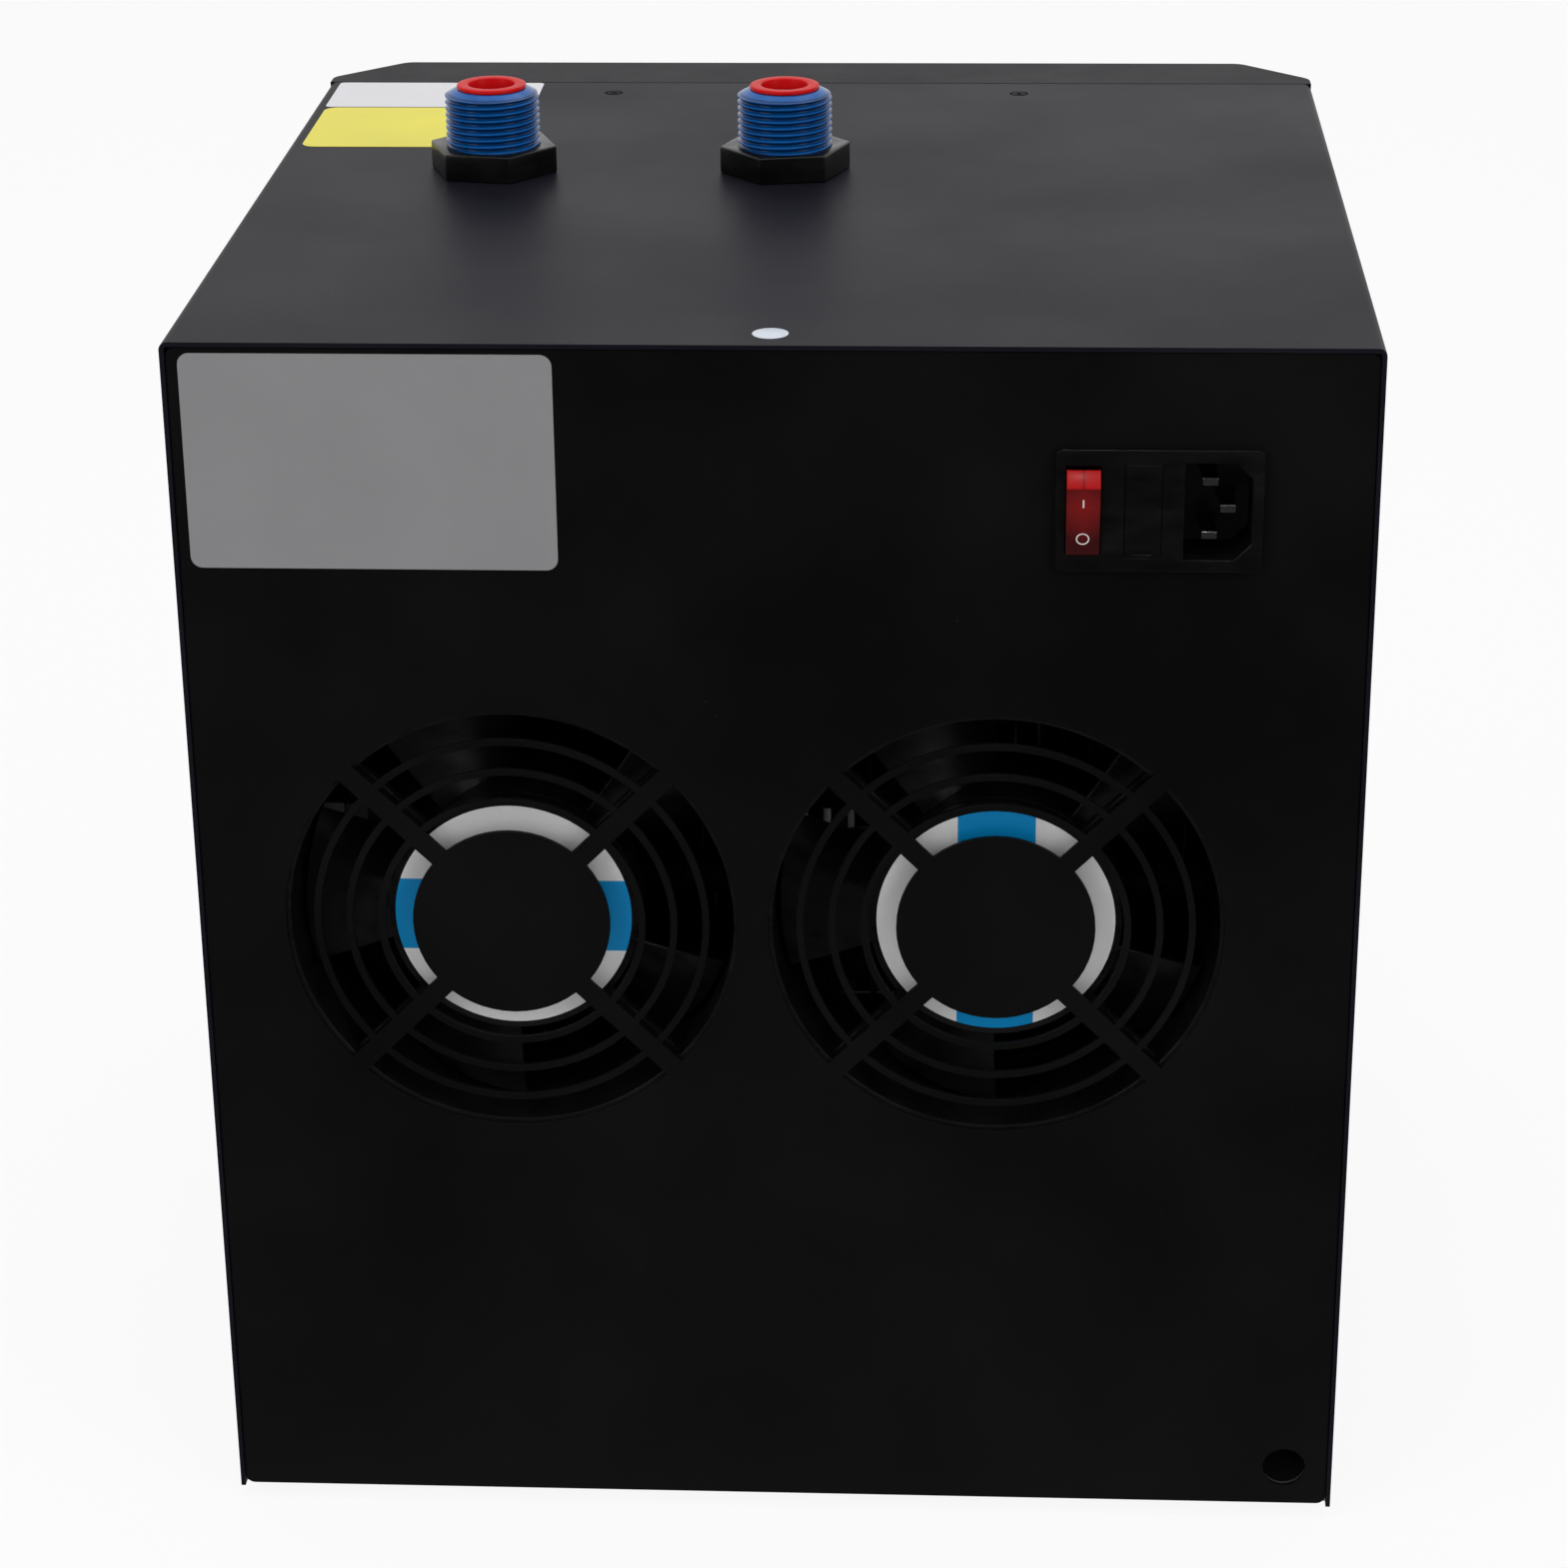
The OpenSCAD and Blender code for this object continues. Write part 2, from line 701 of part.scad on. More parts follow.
// Front moulding: a shell with leaning louvre slats, a window seat and button guides
module front_panel() {
    h = top_z - rim_z;
    pitch = intake_h / louvre_count;
    color([0.07, 0.07, 0.075]) {
        difference() {
            translate([0, 0, rim_z]) linear_extrude(h) front_plan(0);
            translate([0, 0, rim_z + front_wall]) linear_extrude(h - 2 * front_wall) front_plan(front_wall);
            block([-intake_w / 2, front_y - cut, intake_z0],
                [intake_w / 2, front_y + front_wall + cut, intake_z0 + intake_h]);
            wall(front_y + front_wall + cut, front_wall + 2 * cut) translate([0, window_z])
                round_plate(window_w - 2 * window_lip, window_h - 2 * window_lip, window_lip);
            wall(front_y + window_t, window_t + cut) translate([0, window_z])
                round_plate(window_w, window_h, window_lip);
            for (x = button_xs)
                rod_y(x, button_z, front_y - cut, front_y + front_wall + cut, button_r + guide_gap);
        }
        for (i = [0:louvre_count - 1]) across(-intake_w / 2, intake_w)
            translate([front_y, intake_z0 + slat_t / 2 + i * pitch])
            polygon([[0, 0], [0, slat_t], [slat_lean, slat_t + slat_lean], [slat_lean, slat_lean]]);
        for (i = [0:intake_ribs + 1]) {
            x = (i / (intake_ribs + 1) - 1 / 2) * (intake_w + rib_t);
            block([x - rib_t / 2, front_y + front_wall / 2, intake_z0 - slat_t],
                [x + rib_t / 2, front_y + slat_lean + slat_t, intake_z0 + intake_h + slat_t]);
        }
        for (x = [-1, 1]) for (z = [display_board_low + boss_r, display_board_top - boss_r]) difference() {
            rod_y(x * (display_board_w / 2 - boss_r), z, front_y + front_wall / 2, display_board_y, boss_r);
            rod_y(x * (display_board_w / 2 - boss_r), z, front_y + front_wall,
                display_board_y + cut, boss_hole_r);
        }
    }
}

module rubber_feet() {
    w = inner_w / 2 - foot_inset;
    color([0.05, 0.05, 0.05]) for (x = [-w, w]) for (y = [joint_y + foot_inset, panel_in_y - foot_inset])
        translate([x, y, 0]) rotate_extrude() polygon([[0, 0], [foot_top_r, 0], [foot_r, foot_h / 2],
            [foot_r, foot_h], [foot_stud_r, foot_h], [foot_stud_r, floor_z + sheet_t], [0, floor_z + sheet_t]]);
}

module cover_screws() {
    w = case_w / 2;
    color([0.1, 0.1, 0.1]) {
        for (x = [-cover_screw_x, cover_screw_x]) translate([x, joint_y + cover_screw_back, 0]) {
            post(0, 0, top_z - cover_head_t, top_z, cover_head_r);
            post(0, 0, top_z - cover_screw_l, top_z - cover_head_t, cover_screw_r);
        }
        for (s = side_screw_shares) for (m = [0, 1]) mirror([m, 0, 0]) {
            rod_x(joint_y + case_d * s, side_screw_z, w - cover_head_t, w, cover_head_r);
            rod_x(joint_y + case_d * s, side_screw_z, w - cover_screw_l, w - cover_head_t, cover_screw_r);
        }
    }
}

// One fan frame about its own axis, with z pointing out of the rear
module fan_frame() {
    s = fan_size / 2;
    e = fan_hole_pitch / 2;
    top = -hub_recess - hub_plate_t;
    low = rotor_end + rotor_wall + hub_gap - fan_depth;
    difference() {
        union() {
            difference() {
                union() {
                    for (z = [-fan_lip_t, -fan_depth]) translate([0, 0, z]) linear_extrude(fan_lip_t)
                        round_plate(fan_size, fan_size, fan_corner_r);
                    translate([0, 0, -fan_depth]) cylinder(h = fan_depth, r = fan_skirt_r);
                }
                translate([0, 0, -fan_depth - cut]) cylinder(h = fan_depth + 2 * cut, r = duct_r);
                for (x = [-e, e]) for (y = [-e, e]) translate([x, y, -fan_depth - cut])
                    cylinder(h = fan_depth + 2 * cut, r = fan_hole_r);
            }
            for (a = [45, 135]) rotate(a) translate([0, 0, top + hub_plate_t / 2])
                cube([duct_r + fan_skirt_r, strut_w, hub_plate_t - 2 * slack], center = true);
            translate([0, 0, top]) cylinder(h = hub_plate_t, r = hub_r);
            translate([0, 0, low]) cylinder(h = top + hub_plate_t / 2 - low, r = bearing_r);
        }
        translate([0, 0, -fan_depth])
            cylinder(h = fan_depth - hub_recess - hub_plate_t / 4, r = shaft_r + shaft_clearance);
    }
}

// Section of a blade at a share of its span, as a closed loop of points
function blade_ring(share) =
    let (
        r0 = hub_r - rotor_wall / 2,
        r = r0 + (duct_r - tip_gap - r0) * share,
        chord = blade_root_chord + (blade_tip_chord - blade_root_chord) * share,
        pitch = blade_root_pitch + (blade_tip_pitch - blade_root_pitch) * share,
        n = blade_steps,
        points = [for (side = [-1, 1]) for (j = [0:n])
            let (
                k = side < 0 ? j : n - j,
                f = 2 * k / n - 1,
                s = f * chord / 2,
                h = (blade_camber + side * blade_t / 2) * (1 - f * f) + side * blade_t / 6
            )
            [s * cos(pitch) - h * sin(pitch), s * sin(pitch) + h * cos(pitch)]]
    )
    [for (p = points) [r * cos(p.x / r * 180 / PI), r * sin(p.x / r * 180 / PI), p.y]];

// One impeller about its own axis: a cup on a shaft, with cambered and twisted blades
module fan_rotor() {
    z0 = rotor_end - fan_depth;
    z1 = -hub_recess - hub_plate_t - hub_gap;
    difference() {
        translate([0, 0, z0]) cylinder(h = z1 - z0, r = hub_r);
        translate([0, 0, z0 + rotor_wall]) cylinder(h = z1 - z0, r = hub_r - rotor_wall);
    }
    translate([0, 0, z0]) cylinder(h = -hub_recess - hub_plate_t / 2 - z0 - hub_gap, r = shaft_r);
    for (i = [0:blade_count - 1]) rotate(360 * i / blade_count) translate([0, 0, (z0 + z1) / 2])
        skin([for (k = [0:blade_spans]) blade_ring(k / blade_spans)]);
}

module at_fan(x) {
    translate([x, panel_in_y, fan_z]) rotate([-90, 0, 0]) children();
}

module fan_frame_left() {
    color([0.07, 0.07, 0.07]) at_fan(fan_xs[0]) fan_frame();
}

module fan_frame_right() {
    color([0.07, 0.07, 0.07]) at_fan(fan_xs[1]) fan_frame();
}

module fan_rotor_left() {
    color([0.05, 0.05, 0.05]) at_fan(fan_xs[0]) fan_rotor();
}

module fan_rotor_right() {
    color([0.05, 0.05, 0.05]) at_fan(fan_xs[1]) fan_rotor();
}

// Motor cores, which sit on the bearing tubes inside the impellers
module fan_stators() {
    top = -hub_recess - hub_plate_t;
    h = fan_depth - rotor_end - rotor_wall - 2 * hub_gap + top;
    color([0.6, 0.35, 0.15]) for (x = fan_xs) at_fan(x) translate([0, 0, top - h]) difference() {
        cylinder(h = h, r = stator_r);
        translate([0, 0, -cut]) cylinder(h = h + 2 * cut, r = bearing_r + shaft_clearance);
    }
}

// Plate that carries the fans, with a collar round the condenser
module fan_shroud() {
    w = cond_plate_x;
    side = fan_pitch / 2 + fan_size / 2;
    e = fan_hole_pitch / 2;
    y = fan_front_y - shroud_d;
    color([0.55, 0.56, 0.57]) translate([fan_mid_x, 0, 0]) difference() {
        union() {
            wall(fan_front_y, sheet_t) translate([0, fan_z]) square([2 * side, cond_h], center = true);
            wall(fan_front_y, shroud_d) translate([0, fan_z]) difference() {
                square([2 * w, cond_h], center = true);
                square([2 * (w - sheet_t), cond_h - 2 * sheet_t], center = true);
            }
        }
        for (s = [-1, 1]) translate([s * fan_pitch / 2, 0, 0]) {
            rod_y(0, fan_z, y - cut, fan_front_y + cut, duct_r - tip_gap);
            for (a = [-e, e]) for (b = [-e, e]) rod_y(a, fan_z + b, y - cut, fan_front_y + cut, fan_hole_r);
        }
    }
}

// Places of the condenser's tubes, as Y and Z
function tube_yz(row, i) =
    [cond_rear_y - cond_row_gap * (row + 1 / 2), cond_z0 + cond_pitch * (i + 1 / 2)];

module tube_holes(extra) {
    for (row = [0:cond_rows - 1]) for (i = [0:cond_tubes - 1])
        translate(tube_yz(row, i)) circle(cond_tube_r + extra);
}

module condenser_fins() {
    step = (cond_w - fin_t - 2 * slack) / (fin_count - 1);
    color([0.75, 0.76, 0.78]) translate([fan_mid_x - cond_w / 2 + slack, 0, 0]) for (i = [0:fin_count - 1])
        across(i * step, fin_t) difference() {
            translate([cond_rear_y - cond_d, cond_z0]) square([cond_d, cond_h]);
            tube_holes(tube_gap);
        }
}

// End plates that stand on the tray and carry the tubes
module condenser_plates() {
    color([0.6, 0.61, 0.62]) translate([fan_mid_x, 0, 0]) for (m = [0, 1]) mirror([m, 0, 0]) {
        across(cond_w / 2, cond_plate_t) difference() {
            translate([cond_rear_y - cond_d, floor_z]) square([cond_d, cond_z0 + cond_h - floor_z]);
            tube_holes(tube_gap);
        }
        block([cond_w / 2 - cond_foot_w, cond_rear_y - cond_d, floor_z],
            [cond_w / 2 + cond_plate_t, cond_rear_y, floor_z + cond_plate_t]);
    }
}

// Serpentine of the condenser: down the rear row, across, and up the front row
module condenser_tubes() {
    x = cond_plate_x + bend_stub;
    order = [for (i = [cond_tubes - 1:-1:0]) tube_yz(0, i)];
    route = concat(order, [for (i = [0:cond_tubes - 1]) tube_yz(1, i)]);
    n = len(route);
    color([0.72, 0.42, 0.25]) translate([fan_mid_x, 0, 0]) {
        for (k = [0:n - 1]) {
            first = k == 0 || k == n - 1;
            rod_x(route[k].x, route[k].y, -x - (first ? inlet_stub : 0), x, cond_tube_r);
        }
        for (k = [0:n - 2]) {
            a = route[k];
            d = route[k + 1] - a;
            middle = a + d / 2;
            side = k % 2 == 0 ? 1 : -1;
            translate([side * x, middle.x, middle.y]) multmatrix([[0, side, 0, 0],
                [unit(d).x, 0, side * unit(d).y, 0], [unit(d).y, 0, -side * unit(d).x, 0]])
                rotate_extrude(angle = 180) translate([norm(d) / 2, 0]) circle(cond_tube_r);
        }
    }
}

// Compressor: a domed steel can welded on a three-cornered foot plate
module compressor_shell() {
    r = comp_dome_r;
    color([0.05, 0.05, 0.05]) {
        translate([comp_x, comp_y, 0]) {
            translate([0, 0, comp_z0]) rotate_extrude() difference() {
                union() {
                    square([comp_r - r, comp_h]);
                    translate([0, r]) square([comp_r, comp_h - 2 * r]);
                    for (z = [r, comp_h - r]) translate([comp_r - r, z]) circle(r);
                }
                translate([-comp_r, -cut]) square([comp_r, comp_h + 2 * cut]);
            }
            translate([0, 0, comp_z0 + comp_h * comp_seam_share - comp_weld_h])
                cylinder(h = comp_weld_h, r = comp_r + comp_weld_rise);
            translate([0, 0, comp_plate_z]) linear_extrude(comp_plate_t) difference() {
                polygon(rounded([for (a = comp_angles) turned([comp_bolt_pitch + 2 * comp_lobe_r, 0], a)],
                    [for (a = comp_angles) comp_lobe_r]));
                for (a = comp_angles) rotate(a) translate([comp_bolt_pitch, 0]) circle(comp_bolt_r + guide_gap);
            }
        }
    }
}

module at_comp_bolts() {
    for (a = comp_angles) translate([comp_x, comp_y, 0]) rotate(a)
        translate([comp_bolt_pitch, 0, 0]) children();
}

module compressor_feet() {
    color([0.06, 0.06, 0.06]) at_comp_bolts() difference() {
        post(0, 0, floor_z, comp_plate_z, grommet_r);
        post(0, 0, floor_z - cut, comp_plate_z + cut, comp_bolt_r + guide_gap);
    }
}

module compressor_bolts() {
    color([0.7, 0.7, 0.72]) at_comp_bolts() {
        post(0, 0, base_z, comp_z0 + comp_bolt_head_h, comp_bolt_r);
        translate([0, 0, comp_z0]) cylinder(h = comp_bolt_head_h, r = comp_bolt_head_r, $fn = 6);
    }
}

module terminal_cover() {
    color([0.08, 0.08, 0.08]) translate([comp_x + terminal_off, comp_y, comp_top_z]) difference() {
        union() {
            cylinder(h = terminal_h - terminal_chamfer, r = terminal_r);
            translate([0, 0, terminal_h - terminal_chamfer])
                cylinder(h = terminal_chamfer, r1 = terminal_r, r2 = terminal_r - terminal_chamfer);
        }
        translate([0, 0, -cut]) cylinder(h = terminal_h - front_wall + cut, r = terminal_r - front_wall);
    }
}

// Suction accumulator, strapped to the shell, with its pipe into the shell's side
module accumulator() {
    x = accumulator_x;
    y = accumulator_y;
    z0 = accumulator_z0;
    r = accumulator_dome_r;
    color([0.06, 0.06, 0.06]) {
        translate([x, y, z0]) rotate_extrude() difference() {
            union() {
                square([accumulator_r - r, accumulator_h]);
                translate([0, r]) square([accumulator_r, accumulator_h - 2 * r]);
                for (z = [r, accumulator_h - r]) translate([accumulator_r - r, z]) circle(r);
            }
            translate([-accumulator_r, -cut]) square([accumulator_r, accumulator_h + 2 * cut]);
        }
        difference() {
            block([x - strap_w / 2, y, z0 + accumulator_h / 2 - strap_w],
                [x + strap_w / 2, comp_y, z0 + accumulator_h / 2 + strap_w]);
            post(comp_x, comp_y, z0, z0 + accumulator_h, comp_r);
        }
        difference() {
            bent_pipe([[x, y, z0 + pipe_r], [x, y, z0 - accumulator_drop], [x, comp_y, z0 - accumulator_drop]],
                pipe_r, accumulator_bend);
            post(comp_x, comp_y, comp_z0, z0 + accumulator_h, comp_r);
        }
    }
}

// A hose tail of falling barbs, which runs from z = 0 up
module hose_tail() {
    step = tail_l / barb_count;
    rotate_extrude() polygon([[0, 0], for (i = [0:barb_count - 1])
        each [[tail_r, i * step], [tail_r + barb_rise, (i + barb_share) * step],
            [tail_r, (i + 1) * step - slack]],
        [tail_r, tail_l], [0, tail_l]]);
}

// Barrel of the heat exchanger, which stands on the tray under the two ports
module exchanger_barrel() {
    color([0.85, 0.85, 0.83]) translate([port_mid_x, port_y, 0]) difference() {
        union() {
            post(0, 0, floor_z, cap_z0, barrel_r);
            post(0, 0, floor_z, floor_z + saddle_t, barrel_r + jacket_t);
            post(0, 0, cap_z0 - saddle_t, cap_z0, cap_r);
        }
        post(0, 0, floor_z + saddle_t, cap_z0 + cut, barrel_r - barrel_wall);
    }
}

// Cap with two hose tails for the water and two bores for the coil's ends
module exchanger_cap() {
    color([0.85, 0.85, 0.83]) translate([port_mid_x, port_y, 0]) difference() {
        union() {
            post(0, 0, cap_z0, cap_top_z, cap_r);
            post(0, 0, cap_z0 - cap_spigot, cap_z0, barrel_r - barrel_wall - guide_gap);
            for (s = [-1, 1]) translate([s * port_pitch / 2, 0, cap_top_z]) hose_tail();
            for (i = [0:cap_bolt_count - 1]) rotate((i + 1 / 2) * 360 / cap_bolt_count)
                translate([cap_r - cap_bolt_head_r - slack, 0, cap_top_z])
                    cylinder(h = cap_bolt_head_h, r = cap_bolt_head_r, $fn = 6);
        }
        for (s = [-1, 1])
            post(s * port_pitch / 2, 0, cap_z0 - cap_spigot - cut, cap_top_z + tail_l + cut, nipple_bore_r);
        for (y = [0, coil_r]) post(0, y, cap_z0 - cap_spigot - cut, cap_top_z + cut, coil_tube_r + tube_gap);
    }
}

// Foam sleeve round the barrel
module exchanger_jacket() {
    color([0.1, 0.1, 0.1]) translate([port_mid_x, port_y, 0]) difference() {
        post(0, 0, floor_z + saddle_t + slack, cap_z0 - saddle_t - slack, barrel_r + jacket_t);
        post(0, 0, floor_z, cap_z0, barrel_r + slack);
    }
}

// Least gap of a tube to itself, measured between points that are more than a turn's share apart
function least_gap(p, r, apart) =
    min([for (i = [0:len(p) - 1 - apart]) for (j = [i + apart:len(p) - 1]) norm(p[i] - p[j])]) - 2 * r;

// Titanium coil in the barrel: down a helix from the rim and back up the middle
module exchanger_coil() {
    top = cap_top_z + coil_rise;
    high = cap_z0 - cap_spigot - coil_end_gap;
    low = floor_z + saddle_t + coil_end_gap;
    n = coil_turn_steps * coil_turns;
    first = 2;
    helix = [for (i = [first:n]) let (a = 90 + 360 * i / coil_turn_steps)
        [coil_r * cos(a), coil_r * sin(a), high + (low - high) * i / n]];
    last = helix[len(helix) - 1];
    route = concat(
        bent([[0, coil_r, top], [0, coil_r, high], helix[0]], coil_bend, corner_steps),
        [for (i = [1:len(helix) - 2]) helix[i]],
        bent([last, last - [coil_bend * 2, 0, 0], [-coil_bend / 2, 0, low], [0, 0, low + coil_bend],
            [0, 0, top]],
            coil_bend / 2, corner_steps));
    echo("Least gap of the exchanger coil", least_gap(helix, coil_tube_r, coil_turn_steps / 2));
    color([0.66, 0.62, 0.6]) translate([port_mid_x, port_y, 0])
        skin(tube_rings(route, coil_tube_r, tube_sides, [1, 0, 0]));
}

module at_ports() {
    for (x = port_xs) translate([x, port_y, 0]) children();
}

module water_hoses() {
    color([0.12, 0.12, 0.12]) at_ports() difference() {
        post(0, 0, hose_low, hose_high, hose_inner_r + hose_wall);
        post(0, 0, hose_low - cut, hose_high + cut, hose_inner_r);
    }
}

// Band clamps on both ends of each hose, with their screw housings
module hose_clamps() {
    r = hose_inner_r + hose_wall + slack;
    color([0.72, 0.73, 0.75]) at_ports()
        for (z = [hose_low + clamp_inset, hose_high - clamp_inset - clamp_w]) difference() {
        union() {
            post(0, 0, z, z + clamp_w, r + clamp_t);
            block([r - clamp_t, -clamp_box / 2, z], [r + clamp_box / 2, clamp_box / 2, z + clamp_w]);
            rod_y(r + clamp_box / 4, z + clamp_w / 2, -clamp_box, clamp_box, clamp_box / 4);
        }
        post(0, 0, z - cut, z + clamp_w + cut, r);
    }
}

// Blue bulkhead nipple: thread and bevel above the case, flange and hose tail below
module port_nipple(i) {
    under = top_z - sheet_t - gasket_t;
    color([0.05, 0.32, 0.72]) translate([port_xs[i], port_y, 0]) difference() {
        union() {
            post(0, 0, under - nipple_flange_t, top_z + nut_h + slack, neck_r);
            post(0, 0, top_z + nut_h + slack, top_z + thread_top_h, thread_r);
            translate([0, 0, top_z + thread_top_h])
                cylinder(h = nipple_bevel_h, r1 = thread_r, r2 = nipple_end_r);
            post(0, 0, under - nipple_flange_t, under, nipple_flange_r);
            translate([0, 0, under - nipple_flange_t]) mirror([0, 0, 1]) hose_tail();
        }
        post(0, 0, under - nipple_flange_t - tail_l - cut, top_z + nipple_top_h, nipple_bore_r);
        post(0, 0, top_z + nipple_top_h - plug_d - nipple_bevel_h, top_z + nipple_top_h + cut, plug_seat_r);
    }
}

module port_nipple_left() {
    port_nipple(0);
}

module port_nipple_right() {
    port_nipple(1);
}

// Black hexagon nut with chamfered corners
module port_nut(i) {
    r = nut_af * hex_share / 2;
    color([0.04, 0.04, 0.04]) translate([port_xs[i], port_y, top_z]) rotate(port_turns[i]) difference() {
        intersection() {
            cylinder(h = nut_h, r = r, $fn = 6);
            union() {
                cylinder(h = nut_h - nut_chamfer, r = r + cut);
                translate([0, 0, nut_h - nut_chamfer])
                    cylinder(h = nut_chamfer, r1 = r, r2 = r - 2 * nut_chamfer);
            }
        }
        translate([0, 0, -cut]) cylinder(h = nut_h + 2 * cut, r = neck_r + tube_gap / 2);
    }
}

module port_nut_left() {
    port_nut(0);
}

module port_nut_right() {
    port_nut(1);
}

// Red shipping plug: a hollow flanged cup in the nipple's mouth
module port_plug(i) {
    seat = top_z + nipple_top_h;
    color([0.85, 0.04, 0.06]) translate([port_xs[i], port_y, 0]) difference() {
        union() {
            post(0, 0, seat, seat + plug_flange_t, plug_flange_r);
            post(0, 0, seat - plug_d, seat + plug_flange_t, plug_body_r);
        }
        post(0, 0, seat - plug_d + plug_wall, seat + plug_flange_t + cut, plug_body_r - plug_wall);
    }
}

module port_plug_left() {
    port_plug(0);
}

module port_plug_right() {
    port_plug(1);
}

module port_gaskets() {
    color([0.05, 0.05, 0.05]) at_ports() difference() {
        post(0, 0, top_z - sheet_t - gasket_t, top_z - sheet_t, gasket_r);
        post(0, 0, top_z - sheet_t - gasket_t - cut, top_z, thread_r + slack);
    }
}

module discharge_pipe() {
    z = stub_hot.y + discharge_rise;
    color([0.72, 0.42, 0.25])
        bent_pipe([[comp_x, comp_y, comp_top_z], [comp_x, comp_y, z], [turn_x, comp_y, z],
            [turn_x, stub_hot.x, z], [turn_x, stub_hot.x, stub_hot.y], [stub_x, stub_hot.x, stub_hot.y]],
            pipe_r, pipe_bend);
}

module liquid_line() {
    color([0.72, 0.42, 0.25])
        bent_pipe([[stub_x, stub_cool.x, stub_cool.y], [turn_x, stub_cool.x, stub_cool.y],
            [turn_x, stub_cool.x, drier_z], [turn_x, drier_y, drier_z], [drier_x0, drier_y, drier_z]],
            small_pipe_r, pipe_bend);
}

module suction_pipe() {
    z = exchanger_top + suction_rise;
    y = comp_y - comp_r;
    color([0.72, 0.42, 0.25]) bent_pipe([[port_mid_x, port_y, exchanger_top], [port_mid_x, port_y, z],
        [port_mid_x, y, z], [accumulator_x, y, z], [accumulator_x, y, comp_top_z + suction_rise],
        [accumulator_x, accumulator_y, comp_top_z + suction_rise],
        [accumulator_x, accumulator_y, accumulator_z0 + accumulator_h]], pipe_r, pipe_bend);
}

// Drier: a copper can drawn in to the pipes at both ends
module filter_drier() {
    color([0.72, 0.42, 0.25]) translate([drier_x0, drier_y, drier_z]) rotate([0, 90, 0])
        rotate_extrude() polygon([[0, 0], [small_pipe_r + slack, 0], [drier_r, drier_cone_l],
            [drier_r, drier_l - drier_cone_l], [small_pipe_r + slack, drier_l], [0, drier_l]]);
}

// Capillary tube: loops beside the drier, then over to the exchanger's inlet
module capillary_coil() {
    r = capillary_loop_r;
    n = coil_turn_steps * capillary_turns;
    x0 = drier_x1 + 2 * capillary_pitch;
    skip = 2;
    loops = [for (i = [skip:n]) let (a = 360 * i / coil_turn_steps)
        [x0 + capillary_pitch * i / coil_turn_steps, drier_y - r + r * cos(a), drier_z + r * sin(a)]];
    last = loops[len(loops) - 1];
    top = exchanger_top + coil_rise;
    route = concat(
        bent([[drier_x1, drier_y, drier_z], [x0, drier_y, drier_z], loops[0]],
            capillary_pitch / 2, corner_steps),
        [for (i = [1:len(loops) - 2]) loops[i]],
        bent([last, [last.x, last.y, top], [port_mid_x, port_y + coil_r, top],
            [port_mid_x, port_y + coil_r, exchanger_top]], capillary_loop_r / 2, corner_steps));
    echo("Least gap of the capillary coil", least_gap(loops, capillary_r, coil_turn_steps / 2));
    color([0.76, 0.45, 0.27]) skin(tube_rings(route, capillary_r, tube_sides, [0, 0, 1]));
}

// Outline of the appliance socket about its middle, chamfered away from the switch
module socket_outline() {
    w = socket_w / 2;
    h = socket_h / 2;
    c = socket_chamfer;
    polygon([[w, -h], [w, h], [c - w, h], [-w, h - c], [-w, c - h], [c - w, -h]]);
}

module pin_outline(extra) {
    for (p = [[pin_line_dx, pin_pitch / 2], [pin_line_dx, -pin_pitch / 2], [pin_earth_dx, 0]])
        translate([socket_dx, 0] + p) square([pin_w + 2 * extra, pin_t + 2 * extra], center = true);
}

// The round-sided well in which the rocker swings
module rocker_well() {
    r = rocker_r + rocker_hole_gap;
    across(rocker_dx - rocker_w / 2 - rocker_hole_gap, rocker_w + 2 * rocker_hole_gap) intersection() {
        translate([inlet_face_y - rocker_pivot_depth, 0]) circle(r);
        translate([inlet_face_y - rocker_floor_depth, -r]) square([rocker_floor_depth + r, 2 * r]);
    }
}

// Moulded power inlet with its flange, socket, drawer slot and rocker well
module inlet_housing() {
    y = inlet_face_y;
    color([0.05, 0.05, 0.05]) translate([inlet_x, 0, inlet_z]) difference() {
        union() {
            wall(y, inlet_flange_t) round_plate(inlet_w, inlet_h, inlet_corner_r);
            wall(y - inlet_flange_t / 2, inlet_body_d) square([inlet_body_w, inlet_body_h], center = true);
        }
        wall(y + cut, socket_d + cut) translate([socket_dx, 0]) socket_outline();
        wall(y + cut, 2 * inlet_body_d) pin_outline(tube_gap / 2);
        wall(y + cut, drawer_d + slack + cut) translate([drawer_dx, 0])
            square([drawer_w + 2 * guide_gap, drawer_h + 2 * guide_gap], center = true);
        rocker_well();
        rod_x(y - rocker_pivot_depth, 0, rocker_dx - rocker_w / 2 - trunnion_l - slack,
            rocker_dx + rocker_w / 2 + trunnion_l + trunnion_gap, trunnion_r + trunnion_gap);
    }
}

module inlet_pins() {
    back = inlet_face_y - inlet_flange_t / 2 - inlet_body_d;
    color([0.8, 0.8, 0.82]) translate([inlet_x, 0, inlet_z])
        wall(inlet_face_y - pin_tip_depth, inlet_face_y - pin_tip_depth - back + pin_tab_l) pin_outline(0);
}

